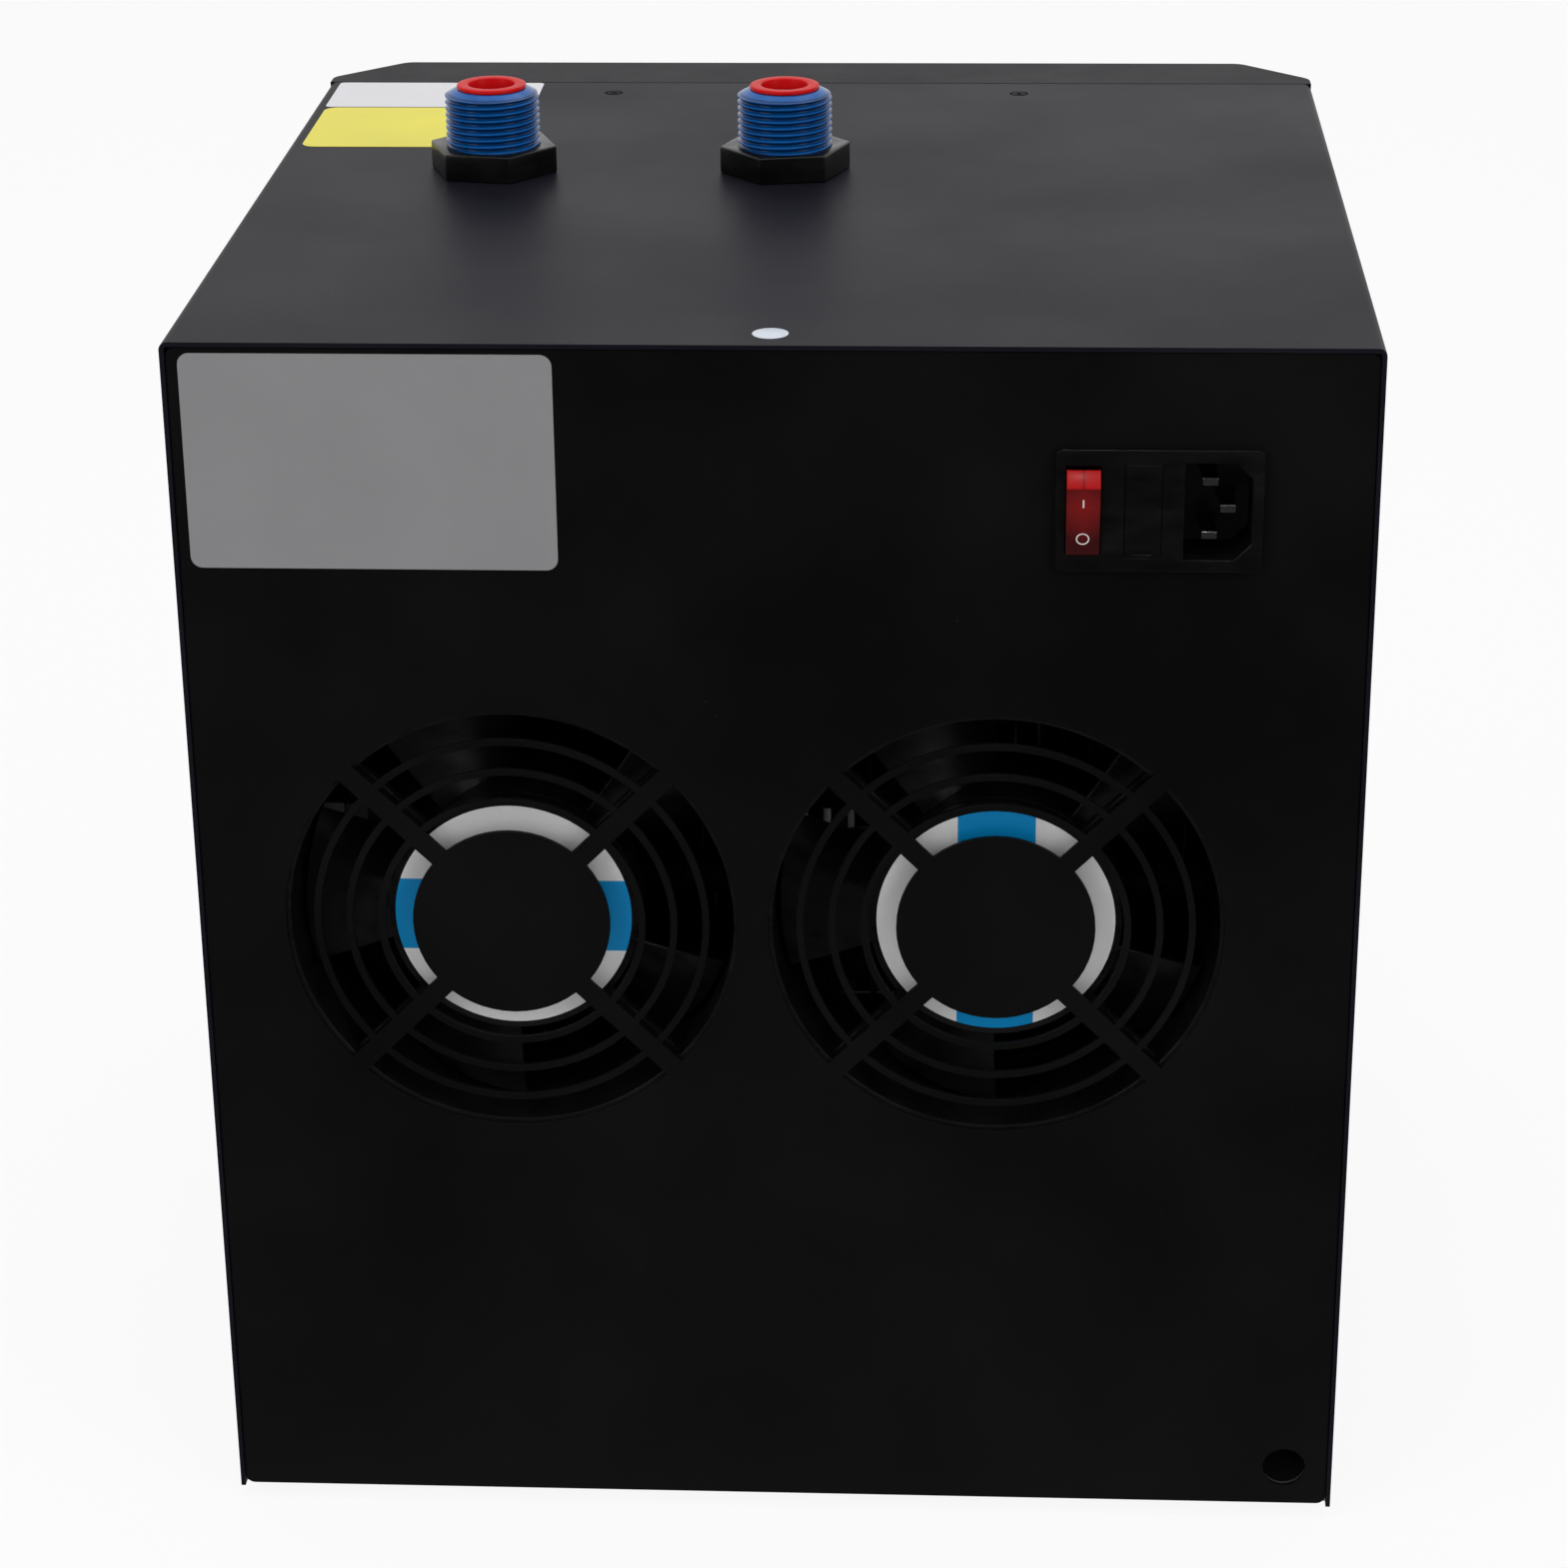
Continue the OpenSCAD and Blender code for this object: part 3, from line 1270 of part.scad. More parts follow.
// Rocker: a flat face across a rounded back, on a stem with two trunnions
module rocker() {
    color([0.9, 0.05, 0.05]) translate([inlet_x + rocker_dx, inlet_face_y - rocker_pivot_depth, inlet_z])
        rotate([-rocker_slope, 0, 0]) {
            across(-rocker_w / 2, rocker_w) {
                intersection() {
                    circle(rocker_r);
                    translate([rocker_flank, -rocker_r]) square([rocker_face - rocker_flank, 2 * rocker_r]);
                }
                translate([-rocker_stem_drop, -rocker_stem_w / 2])
                    square([rocker_stem_drop + (rocker_flank + rocker_face) / 2, rocker_stem_w]);
            }
            rod_x(0, 0, -rocker_w / 2 - trunnion_l, rocker_w / 2 + trunnion_l, trunnion_r);
        }
}

module fuse_drawer() {
    color([0.05, 0.05, 0.05]) translate([inlet_x + drawer_dx, 0, inlet_z]) difference() {
        wall(inlet_face_y, drawer_d) square([drawer_w, drawer_h], center = true);
        wall(inlet_face_y - 2 * drawer_wall, drawer_d)
            square([drawer_w - 2 * drawer_wall, drawer_h - 2 * drawer_wall], center = true);
        wall(inlet_face_y + cut, drawer_wall / 2 + cut) translate([0, drawer_wall - drawer_h / 2])
            square([drawer_w / 2, drawer_wall], center = true);
    }
}

module fuse() {
    y = inlet_face_y - 2 * drawer_wall - fuse_r - slack;
    color([0.8, 0.82, 0.8]) {
        post(inlet_x + drawer_dx, y, inlet_z - fuse_l / 2, inlet_z + fuse_l / 2, fuse_r - slack);
        for (z = [inlet_z - fuse_l / 2, inlet_z + fuse_l / 2 - fuse_cap_l])
            post(inlet_x + drawer_dx, y, z, z + fuse_cap_l, fuse_r);
    }
}

// Power board on posts behind the front frame
module power_board() {
    y = frame_in_y + board_post_l;
    face = y + board_t;
    color([0.1, 0.35, 0.16]) difference() {
        union() {
            wall(face, board_t) translate([board_x, board_z]) square([board_w, board_h], center = true);
            for (c = board_parts_shares)
                block([board_x + board_w * c[0], y + board_t / 2, board_z + board_h * c[1]],
                    [board_x + board_w * c[2], face + board_w * c[4], board_z + board_h * c[3]]);
            for (c = board_caps_shares)
                rod_y(board_x + board_w * c[0], board_z + board_h * c[1], y + board_t / 2,
                    face + board_w * c[3], board_w * c[2]);
        }
        for (x = [-1, 1]) for (z = [-1, 1])
            rod_y(board_x + x * (board_w / 2 - board_hole_inset),
                board_z + z * (board_h / 2 - board_hole_inset),
                y - cut, face + cut, boss_hole_r);
    }
}

module board_posts() {
    color([0.9, 0.9, 0.88]) for (x = [-1, 1]) for (z = [-1, 1])
        rod_y(board_x + x * (board_w / 2 - board_hole_inset), board_z + z * (board_h / 2 - board_hole_inset),
            frame_in_y, frame_in_y + board_post_l, board_post_r);
}

module display_window() {
    color([0.03, 0.03, 0.04]) wall(front_y + window_t, window_t) translate([0, window_z])
        round_plate(window_w - 2 * tube_gap, window_h - 2 * tube_gap, window_lip);
}

// Display board with its lit figures' block and four tact switches
module display_board() {
    y = display_board_y;
    w = display_board_w;
    color([0.1, 0.35, 0.16]) difference() {
        union() {
            block([-w / 2, y, display_board_low], [w / 2, y + display_board_t, display_board_top]);
            wall(y + cut / 2, display_led_h + cut / 2) translate([0, window_z])
                square([window_w - 4 * window_lip, window_h - 3 * window_lip], center = true);
            for (x = button_xs) block([x - switch_w / 2, y - switch_h, button_z - switch_w / 2],
                [x + switch_w / 2, y + display_board_t / 2, button_z + switch_w / 2]);
        }
        for (x = [-1, 1]) for (z = [display_board_low + boss_r, display_board_top - boss_r])
            rod_y(x * (w / 2 - boss_r), z, y - cut, y + display_board_t + cut, boss_hole_r);
    }
}

// One push button: a cap in its guide, a flange behind the wall and a stem to its switch
module push_button(i) {
    back = front_y + front_wall;
    tip = display_board_y - switch_h - button_travel - slack;
    color([0.12, 0.12, 0.13]) {
        rod_y(button_xs[i], button_z, front_y - button_proud, back + slack, button_r);
        rod_y(button_xs[i], button_z, back + slack, back + slack + button_flange_t, button_r + button_flange);
        rod_y(button_xs[i], button_z, back + slack, tip, button_stem_r);
    }
}

module button_power() {
    push_button(0);
}

module button_mode() {
    push_button(1);
}

module button_up() {
    push_button(2);
}

module button_down() {
    push_button(3);
}

outer_cover();
rear_panel();
base_tray();
front_frame();
front_panel();
rubber_feet();
cover_screws();
fan_frame_left();
fan_frame_right();
fan_rotor_left();
fan_rotor_right();
fan_stators();
fan_shroud();
condenser_fins();
condenser_plates();
condenser_tubes();
compressor_shell();
compressor_feet();
compressor_bolts();
terminal_cover();
accumulator();
exchanger_barrel();
exchanger_cap();
exchanger_jacket();
exchanger_coil();
water_hoses();
hose_clamps();
port_nipple_left();
port_nipple_right();
port_nut_left();
port_nut_right();
port_plug_left();
port_plug_right();
port_gaskets();
discharge_pipe();
suction_pipe();
liquid_line();
filter_drier();
capillary_coil();
inlet_housing();
inlet_pins();
rocker();
fuse_drawer();
fuse();
power_board();
board_posts();
display_window();
display_board();
button_power();
button_mode();
button_up();
button_down();
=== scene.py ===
"""Dresses the packed ice bath chiller: its finishes, threads, labels, marks, camera and light."""

import json
import logging
import math
from dataclasses import dataclass, field
from enum import Enum
from typing import Callable, Iterable

import bpy
from mathutils import Matrix, Vector

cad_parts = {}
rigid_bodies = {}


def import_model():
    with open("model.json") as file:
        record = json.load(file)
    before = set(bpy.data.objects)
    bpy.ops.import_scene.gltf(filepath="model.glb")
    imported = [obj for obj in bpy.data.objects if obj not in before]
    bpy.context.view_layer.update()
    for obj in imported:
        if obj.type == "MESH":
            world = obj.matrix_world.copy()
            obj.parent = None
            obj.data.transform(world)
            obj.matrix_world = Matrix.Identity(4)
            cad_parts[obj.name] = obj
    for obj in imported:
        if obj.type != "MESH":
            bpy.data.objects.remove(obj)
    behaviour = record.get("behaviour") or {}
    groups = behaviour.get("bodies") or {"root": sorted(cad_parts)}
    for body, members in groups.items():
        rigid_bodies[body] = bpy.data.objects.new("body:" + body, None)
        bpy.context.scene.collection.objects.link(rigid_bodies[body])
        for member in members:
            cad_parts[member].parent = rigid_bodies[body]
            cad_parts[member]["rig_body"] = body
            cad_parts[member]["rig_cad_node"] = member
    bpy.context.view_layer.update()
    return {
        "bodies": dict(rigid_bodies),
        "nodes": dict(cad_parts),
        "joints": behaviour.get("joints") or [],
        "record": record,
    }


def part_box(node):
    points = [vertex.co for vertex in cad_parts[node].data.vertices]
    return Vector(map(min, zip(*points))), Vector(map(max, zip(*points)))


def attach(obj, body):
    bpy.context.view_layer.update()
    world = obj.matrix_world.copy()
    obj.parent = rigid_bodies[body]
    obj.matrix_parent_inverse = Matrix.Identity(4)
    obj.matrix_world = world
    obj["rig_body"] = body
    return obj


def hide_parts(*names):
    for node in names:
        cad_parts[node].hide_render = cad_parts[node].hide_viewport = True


LOG = logging.getLogger("chiller")
MM = 0.001
WELD = 0.000002
Point = tuple[float, float, float]
Pair = tuple[float, float]


class Wire:
    """A socket that can be used in Python arithmetic."""

    def __init__(self, graph: "Graph", socket: bpy.types.NodeSocket) -> None:
        """Keeps the graph and the socket.

        Args:
            graph: The material's graph.
            socket: The output socket that is wrapped.
        """
        self.graph = graph
        self.socket = socket

    def _math(self, operation: str, first: object, second: object = 0.0) -> "Wire":
        """Adds one Math node and returns its output."""
        return self.graph.make("ShaderNodeMath", {"operation": operation}, [first, second])

    def __add__(self, other: object) -> "Wire":
        """Sum."""
        return self._math("ADD", self, other)

    __radd__ = __add__

    def __sub__(self, other: object) -> "Wire":
        """Difference."""
        return self._math("SUBTRACT", self, other)

    def __rsub__(self, other: object) -> "Wire":
        """Difference, reflected."""
        return self._math("SUBTRACT", other, self)

    def __mul__(self, other: object) -> "Wire":
        """Product."""
        return self._math("MULTIPLY", self, other)

    __rmul__ = __mul__

    def __gt__(self, other: object) -> "Wire":
        """One where this is greater."""
        return self._math("GREATER_THAN", self, other)

    def __lt__(self, other: object) -> "Wire":
        """One where this is less."""
        return self._math("LESS_THAN", self, other)

    def __pow__(self, other: object) -> "Wire":
        """Power."""
        return self._math("POWER", self, other)

    def __abs__(self) -> "Wire":
        """Distance from zero."""
        return self._math("ABSOLUTE", self)


class Graph:
    """The nodes of one material."""

    def __init__(self, name: str) -> None:
        """Makes an empty material with a Principled shader.

        Args:
            name: The material's name.
        """
        self.material = bpy.data.materials.new(name)
        self.material.use_nodes = True
        self.tree = self.material.node_tree
        self.shader = self.tree.nodes["Principled BSDF"]

    @classmethod
    def of(cls, tree: bpy.types.NodeTree) -> "Graph":
        """A graph around a node tree that is there already, such as the world's.

        Args:
            tree: The node tree.

        Returns:
            The graph.
        """
        graph = cls.__new__(cls)
        graph.tree = tree
        return graph

    def make(self, kind: str, settings: dict | None = None, values: Iterable | dict = (),
             out: int | str = 0) -> Wire:
        """Adds a node.

        Args:
            kind: The node's type.
            settings: Its own settings, which are set first.
            values: Values or links of its inputs, in order or by name.
            out: The output that is returned.

        Returns:
            The chosen output.
        """
        node = self.tree.nodes.new(kind)
        for key, value in (settings or {}).items():
            setattr(node, key, value)
        pairs = values.items() if isinstance(values, dict) else enumerate(values)
        for key, value in pairs:
            self.set(node.inputs[key], value)
        return Wire(self, node.outputs[out])

    def set(self, socket: bpy.types.NodeSocket, value: object) -> None:
        """Links or sets one input socket.

        Args:
            socket: The input.
            value: A Wire, a number, a colour or a vector.
        """
        if isinstance(value, Wire):
            self.tree.links.new(value.socket, socket)
        elif isinstance(value, (tuple, list)) and socket.type == "RGBA":
            socket.default_value = (*value[:3], 1)
        else:
            socket.default_value = value

    def place(self, scale: Point = (1, 1, 1), centre: Point = (0, 0, 0), turn: Point = (0, 0, 0)) -> Wire:
        """Object coordinates, moved to a centre, turned and stretched.

        Args:
            scale: Factor along each axis.
            centre: Point that becomes the origin, in metres.
            turn: Turn about each axis, in degrees.

        Returns:
            The mapped coordinates.
        """
        spot = self.make("ShaderNodeTexCoord", out="Object")
        shifted = self.make("ShaderNodeVectorMath", {"operation": "SUBTRACT"}, [spot, centre])
        return self.make("ShaderNodeMapping", {}, {
            "Vector": shifted, "Scale": scale, "Rotation": tuple(math.radians(a) for a in turn)})

    def axis(self, vector: Wire, letter: str) -> Wire:
        """One component of a vector."""
        return self.make("ShaderNodeSeparateXYZ", {}, [vector], out=letter)

    def noise(self, vector: Wire, size: float, detail: float = 2.0, rough: float = 0.5) -> Wire:
        """Noise whose features are about one size.

        Args:
            vector: Coordinates in metres.
            size: Size of a feature, in metres.
            detail: Octaves.
            rough: Share of the finer octaves.

        Returns:
            The noise, about 0.5 on average.
        """
        return self.make("ShaderNodeTexNoise", {}, {
            "Vector": vector, "Scale": 1 / size, "Detail": detail, "Roughness": rough})

    def cells(self, vector: Wire, size: float, feature: str = "F1", out: str = "Distance") -> Wire:
        """Cells of about one size."""
        return self.make("ShaderNodeTexVoronoi", {"feature": feature},
                         {"Vector": vector, "Scale": 1 / size}, out=out)

    def fit(self, value: Wire, low: float, high: float, to_low: float = 0.0, to_high: float = 1.0) -> Wire:
        """Maps a span of values to another, and holds it there."""
        return self.make("ShaderNodeMapRange", {}, [value, low, high, to_low, to_high])

    def mix(self, share: object, first: object, second: object) -> Wire:
        """Mixes two colours.

        Args:
            share: Share of the second colour.
            first: The first colour.
            second: The second colour.

        Returns:
            The mixed colour.
        """
        factor, colour_a, colour_b, result = 0, 6, 7, 2
        values = {factor: share, colour_a: first, colour_b: second}
        return self.make("ShaderNodeMix", {"data_type": "RGBA"}, values, out=result)

    def bump(self, height: Wire, depth: float, strength: float = 1.0, under: Wire | None = None) -> Wire:
        """A bump from a height between 0 and 1.

        Args:
            height: The height.
            depth: Real depth of the bump, in metres.
            strength: Share of it that is used.
            under: A normal that this bump lies on.

        Returns:
            The normal.
        """
        values = {"Height": height, "Distance": depth, "Strength": strength}
        if under is not None:
            values["Normal"] = under
        return self.make("ShaderNodeBump", {}, values)

    def finish(self, **sockets: object) -> bpy.types.Material:
        """Sets the shader's sockets.

        Args:
            sockets: Values or links by the sockets' names, with _ for a space.

        Returns:
            The material.
        """
        for key, value in sockets.items():
            self.set(self.shader.inputs[key.replace("_", " ")], value)
        return self.material


@dataclass(frozen=True)
class Finish:
    """What every finish has: a name, a colour, its roughness, its mirror share and its relief."""

    name: str
    colour: Point
    roughness: float = 0.5
    shine: float = 0.5
    depth: float = 0.01 * MM
    edge: float = 0.3 * MM

    def graph(self) -> Graph:
        """An empty graph with this finish's name."""
        return Graph(self.name)

    def tint(self, factor: float, lift: float = 0.0) -> Point:
        """The colour made darker or paler, for the worn or shaded places of the finish."""
        return tuple(min(1.0, c * factor + lift) for c in self.colour)

    def relief(self, g: Graph, height: Wire, strength: float) -> Wire:
        """The finish's bumps, on edges that are rounded a little.

        Args:
            g: The material's graph.
            height: Height of the bumps, between 0 and 1.
            strength: Share of their depth that is used.

        Returns:
            The normal.
        """
        rounded = g.make("ShaderNodeBevel", {"samples": 4}, {"Radius": self.edge})
        return g.bump(height, self.depth, strength, rounded)

    def build(self) -> bpy.types.Material:
        """Makes the material."""
        raise NotImplementedError


@dataclass(frozen=True)
class PowderCoat(Finish):
    """Baked powder coat: a fine orange peel with specks of dust and faint rubbed patches."""

    depth: float = 0.02 * MM
    peel: float = 0.9 * MM
    cloud: float = 70.0 * MM
    speck: float = 4.0 * MM
    speck_patch: float = 11.0 * MM
    speck_colour: Point = (0.32, 0.32, 0.34)
    dust: float = 0.5

    def build(self) -> bpy.types.Material:
        """Makes the material.

        Returns:
            The powder coat.
        """
        g = self.graph()
        spot = g.place()
        peel = g.noise(spot, self.peel, 3, 0.6)
        cloud = g.noise(spot, self.cloud, 4, 0.55)
        patch = g.noise(spot, self.speck_patch, 1) > 0.62
        speck = g.fit(g.cells(spot, self.speck), 0.0, 0.07, 1.0, 0.0) * patch
        worn = g.mix(g.fit(cloud, 0.35, 0.75, 0.0, 0.35), self.colour, self.tint(1.6, 0.007))
        flecked = g.mix(speck * self.dust, worn, self.speck_colour)
        return g.finish(
            Base_Color=flecked,
            Roughness=g.fit(cloud, 0.3, 0.7, self.roughness - 0.04, self.roughness + 0.05) + peel * 0.04,
            Specular_IOR_Level=self.shine,
            Normal=self.relief(g, peel, 0.6))


@dataclass(frozen=True)
class Moulded(Finish):
    """Moulded plastic: a fine spark-eroded grain, with faint flow marks."""

    edge: float = 0.35 * MM
    grain: float = 0.5 * MM
    swirl: float = 16.0 * MM
    flow: float = 0.2

    def shade(self, g: Graph, colour: Wire) -> Wire:
        """The painted shade that the shape adds to the colour: none, on plain mouldings."""
        return colour

    def build(self) -> bpy.types.Material:
        """Makes the material.

        Returns:
            The plastic.
        """
        g = self.graph()
        spot = g.place()
        grain = g.noise(spot, self.grain, 2, 0.6)
        flow = g.noise(g.place((1, 1, 3)), self.swirl, 3, 0.6)
        dark, pale = self.tint(1 - self.flow), self.tint(1 + self.flow, 0.004)
        return g.finish(
            Base_Color=self.shade(g, g.mix(g.fit(flow, 0.3, 0.7), dark, pale)),
            Roughness=g.fit(flow, 0.2, 0.8, self.roughness - 0.05, self.roughness + 0.06) + grain * 0.05,
            Specular_IOR_Level=self.shine,
            Normal=self.relief(g, grain, 0.5))


@dataclass(frozen=True)
class Threaded(Moulded):
    """Moulded plastic with a thread, with painted shade down in its grooves."""

    centre: Point = (0, 0, 0)
    root: float = 12.0 * MM
    crest: float = 13.0 * MM
    shadow: float = 0.8

    def shade(self, g: Graph, colour: Wire) -> Wire:
        """Paints shade on the colour towards the thread's root.

        Args:
            g: The material's graph.
            colour: The plastic's colour.

        Returns:
            The shaded colour.
        """
        spot = g.place(centre=self.centre)
        radius = (g.axis(spot, "X") ** 2 + g.axis(spot, "Y") ** 2) ** 0.5
        outside = radius > self.root - (self.crest - self.root) / 2
        # Painted shade: the colour darkens towards the thread's root.
        painted_groove_shade = g.fit(radius, self.root, self.crest, self.shadow, 0.0) * outside
        return g.mix(painted_groove_shade, colour, self.tint(0.25))


@dataclass(frozen=True)
class Sheet(Finish):
    """Galvanised sheet, with its spangle and faint rolling lines."""

    spangle: float = 7.0 * MM
    line: float = 50.0 * MM

    def build(self) -> bpy.types.Material:
        """Makes the material.

        Returns:
            The galvanised sheet.
        """
        g = self.graph()
        spot = g.place()
        shade = g.axis(g.cells(spot, self.spangle, out="Color"), "X")
        lines = g.noise(g.place((1, 40, 1)), self.line, 3, 0.5)
        return g.finish(
            Base_Color=g.mix(shade, self.tint(0.75), self.tint(1.25)), Metallic=0.9,
            Roughness=g.fit(shade, 0, 1, self.roughness - 0.08, self.roughness + 0.1) + lines * 0.05,
            Normal=self.relief(g, lines, 0.4))


@dataclass(frozen=True)
class Metal(Finish):
    """Drawn or turned metal, with fine lines and a breath of tarnish."""

    edge: float = 0.2 * MM
    tarnish: Point = (0.2, 0.12, 0.08)
    wear: float = 0.35
    cloud: float = 14.0 * MM
    line: float = 0.6 * MM
    stretch: Point = (1, 1, 1)

    def build(self) -> bpy.types.Material:
        """Makes the material.

        Returns:
            The metal.
        """
        g = self.graph()
        lines = g.noise(g.place(self.stretch), self.line, 2, 0.5)
        cloud = g.noise(g.place(), self.cloud, 4, 0.6)
        share = g.fit(cloud, 0.45, 0.8, 0.0, self.wear)
        return g.finish(
            Base_Color=g.mix(share, self.colour, self.tarnish), Metallic=1.0,
            Roughness=g.fit(cloud, 0.2, 0.8, self.roughness - 0.06, self.roughness + 0.14),
            Normal=self.relief(g, lines, 0.35))


@dataclass(frozen=True)
class Elastic(Finish):
    """Rubber and foam: dull, with pores."""

    depth: float = 0.05 * MM
    edge: float = 0.5 * MM
    pore: float = 0.8 * MM
    cloud: float = 20.0 * MM

    def build(self) -> bpy.types.Material:
        """Makes the material.

        Returns:
            The rubber.
        """
        g = self.graph()
        spot = g.place()
        pore = g.cells(spot, self.pore)
        cloud = g.noise(spot, self.cloud, 3)
        return g.finish(
            Base_Color=g.mix(g.fit(cloud, 0.35, 0.8), self.colour, self.tint(1.7, 0.01)),
            Roughness=g.fit(cloud, 0, 1, self.roughness - 0.05, min(1.0, self.roughness + 0.08)),
            Normal=self.relief(g, pore, 0.5))


@dataclass(frozen=True)
class Vinyl(Finish):
    """Blank label film: a satin face with fine fibres and faint clouds."""

    depth: float = 0.008 * MM
    fibre: float = 0.4 * MM
    cloud: float = 30.0 * MM

    def build(self) -> bpy.types.Material:
        """Makes the material.

        Returns:
            The label film.
        """
        g = self.graph()
        spot = g.place()
        fibre = g.noise(spot, self.fibre, 3, 0.7)
        cloud = g.noise(spot, self.cloud, 3)
        return g.finish(
            Base_Color=g.mix(g.fit(cloud, 0.3, 0.7), self.tint(0.94), self.colour),
            Roughness=g.fit(cloud, 0, 1, self.roughness - 0.05, self.roughness + 0.08),
            Specular_IOR_Level=self.shine,
            Normal=g.bump(fibre, self.depth, 0.4))


class Band(Enum):
    """Which way the coloured band runs on a fan's hub label."""

    ACROSS = "Z"
    UPRIGHT = "X"


@dataclass(frozen=True)
class HubPrint(Finish):
    """White hub label with one plain coloured band through its middle."""

    depth: float = 0.006 * MM
    band: Band = Band.ACROSS
    centre: Point = (0, 0, 0)
    half: float = 10.0 * MM
    blue: Point = (0.001, 0.26, 0.6)
    grain: float = 0.6 * MM

    def build(self) -> bpy.types.Material:
        """Makes the material.

        Returns:
            The printed label.
        """
        g = self.graph()
        spot = g.place(centre=self.centre)
        across = abs(g.axis(spot, self.band.value))
        grain = g.noise(spot, self.grain, 2)
        ink = g.mix(across < self.half, self.colour, self.blue)
        return g.finish(
            Base_Color=g.mix(grain * 0.2, ink, g.mix(0.4, ink, (0.0, 0.0, 0.0))),
            Roughness=g.fit(grain, 0, 1, self.roughness - 0.04, self.roughness + 0.06),
            Specular_IOR_Level=self.shine,
            Normal=g.bump(grain, self.depth, 0.3))


@dataclass(frozen=True)
class Lens(Finish):
    """Clear red plastic of the rocker, with painted light: its top above the step painted bright, a painted
    pool of light below it, and a faint painted glow.
    """

    centre: Point = (0, 0, 0)
    lit: Point = (0.36, 0.004, 0.005)
    painted_light_pool: Point = (0.5, 0.012, 0.012)
    rib: Point = (0.07, 0.002, 0.002)
    step: Pair = (6.9 * MM, 7.3 * MM)
    line: Pair = (0.1 * MM, 0.4 * MM)
    painted_light_pool_height: float = 2.0 * MM
    painted_light_pool_fade: Pair = (1.0 * MM, 12.0 * MM)
    grain: float = 1.1 * MM

    def build(self) -> bpy.types.Material:
        """Makes the material.

        Returns:
            The red plastic.
        """
        g = self.graph()
        spot = g.place(centre=self.centre)
        across, up = abs(g.axis(spot, "X")), g.axis(spot, "Z")
        # Painted light: the top above the step is painted bright, and a painted pool of light fades out
        # downwards.
        glow = g.fit(up, *self.step)
        painted_light_pool = g.fit(abs(up - self.painted_light_pool_height) + across * 0.8, *self.painted_light_pool_fade, 0.3, 0.0)
        rib = g.fit(across, *self.line, 0.7, 0.0) * glow
        seam = g.fit(abs(up - sum(self.step) / 2), *self.line, 0.6, 0.0)
        dark = g.make("ShaderNodeMath", {"operation": "MAXIMUM"}, (rib, seam))
        bright = g.mix(glow, g.mix(painted_light_pool, self.colour, self.painted_light_pool), self.lit)
        ribbed = g.mix(dark, bright, self.rib)
        grain = g.noise(spot, self.grain, 2)
        return g.finish(
            Base_Color=ribbed, Roughness=g.fit(grain, 0, 1, self.roughness, self.roughness + 0.08),
            # The emission is a painted glow; the rocker holds no lamp.
            Specular_IOR_Level=self.shine, Emission_Color=ribbed, Emission_Strength=0.1,
            Normal=self.relief(g, grain, 0.3))


@dataclass(frozen=True)
class Laminate(Finish):
    """Circuit board: green resist over faint tracks."""

    depth: float = 0.03 * MM
    track: float = 9.0 * MM
    wall: float = 6.0 * MM
    tracks_per_metre: float = 400.0

    def build(self) -> bpy.types.Material:
        """Makes the material.

        Returns:
            The board.
        """
        g = self.graph()
        spot = g.place((1, 0.2, 1))
        place = g.axis(g.cells(spot, self.track, out="Position"), "X")
        track = g.fit(abs(place * self.tracks_per_metre - 0.5), 0.4, 0.5)
        line = g.fit(g.cells(spot, self.wall, "DISTANCE_TO_EDGE"), 0.03, 0.06, 1.0, 0.0)
        return g.finish(
            Base_Color=g.mix(line * 0.7, self.colour, self.tint(1.8, 0.01)), Coat_Weight=0.3,
            Roughness=g.fit(track, 0, 1, self.roughness, self.roughness + 0.1),
            Normal=g.bump(line, self.depth, 0.6))


@dataclass(frozen=True)
class Smoked(Finish):
    """Dark window over the display, faintly red inside its printed rim."""

    edge: float = 0.4 * MM
    centre: Point = (0, 0, 0)
    half: Pair = (45.0 * MM, 16.0 * MM)
    inside: Point = (0.012, 0.003, 0.004)
    smear: float = 30.0 * MM

    def build(self) -> bpy.types.Material:
        """Makes the material.

        Returns:
            The window.
        """
        g = self.graph()
        spot = g.place(centre=self.centre)
        inside = (abs(g.axis(spot, "X")) < self.half[0]) * (abs(g.axis(spot, "Z")) < self.half[1])
        smear = g.noise(g.place((1, 1, 2.5)), self.smear, 4)
        return g.finish(
            Base_Color=g.mix(inside, self.colour, self.inside), Specular_IOR_Level=self.shine,
            Roughness=g.fit(smear, 0.3, 0.8, self.roughness, self.roughness + 0.12),
            Normal=self.relief(g, smear, 0.2))


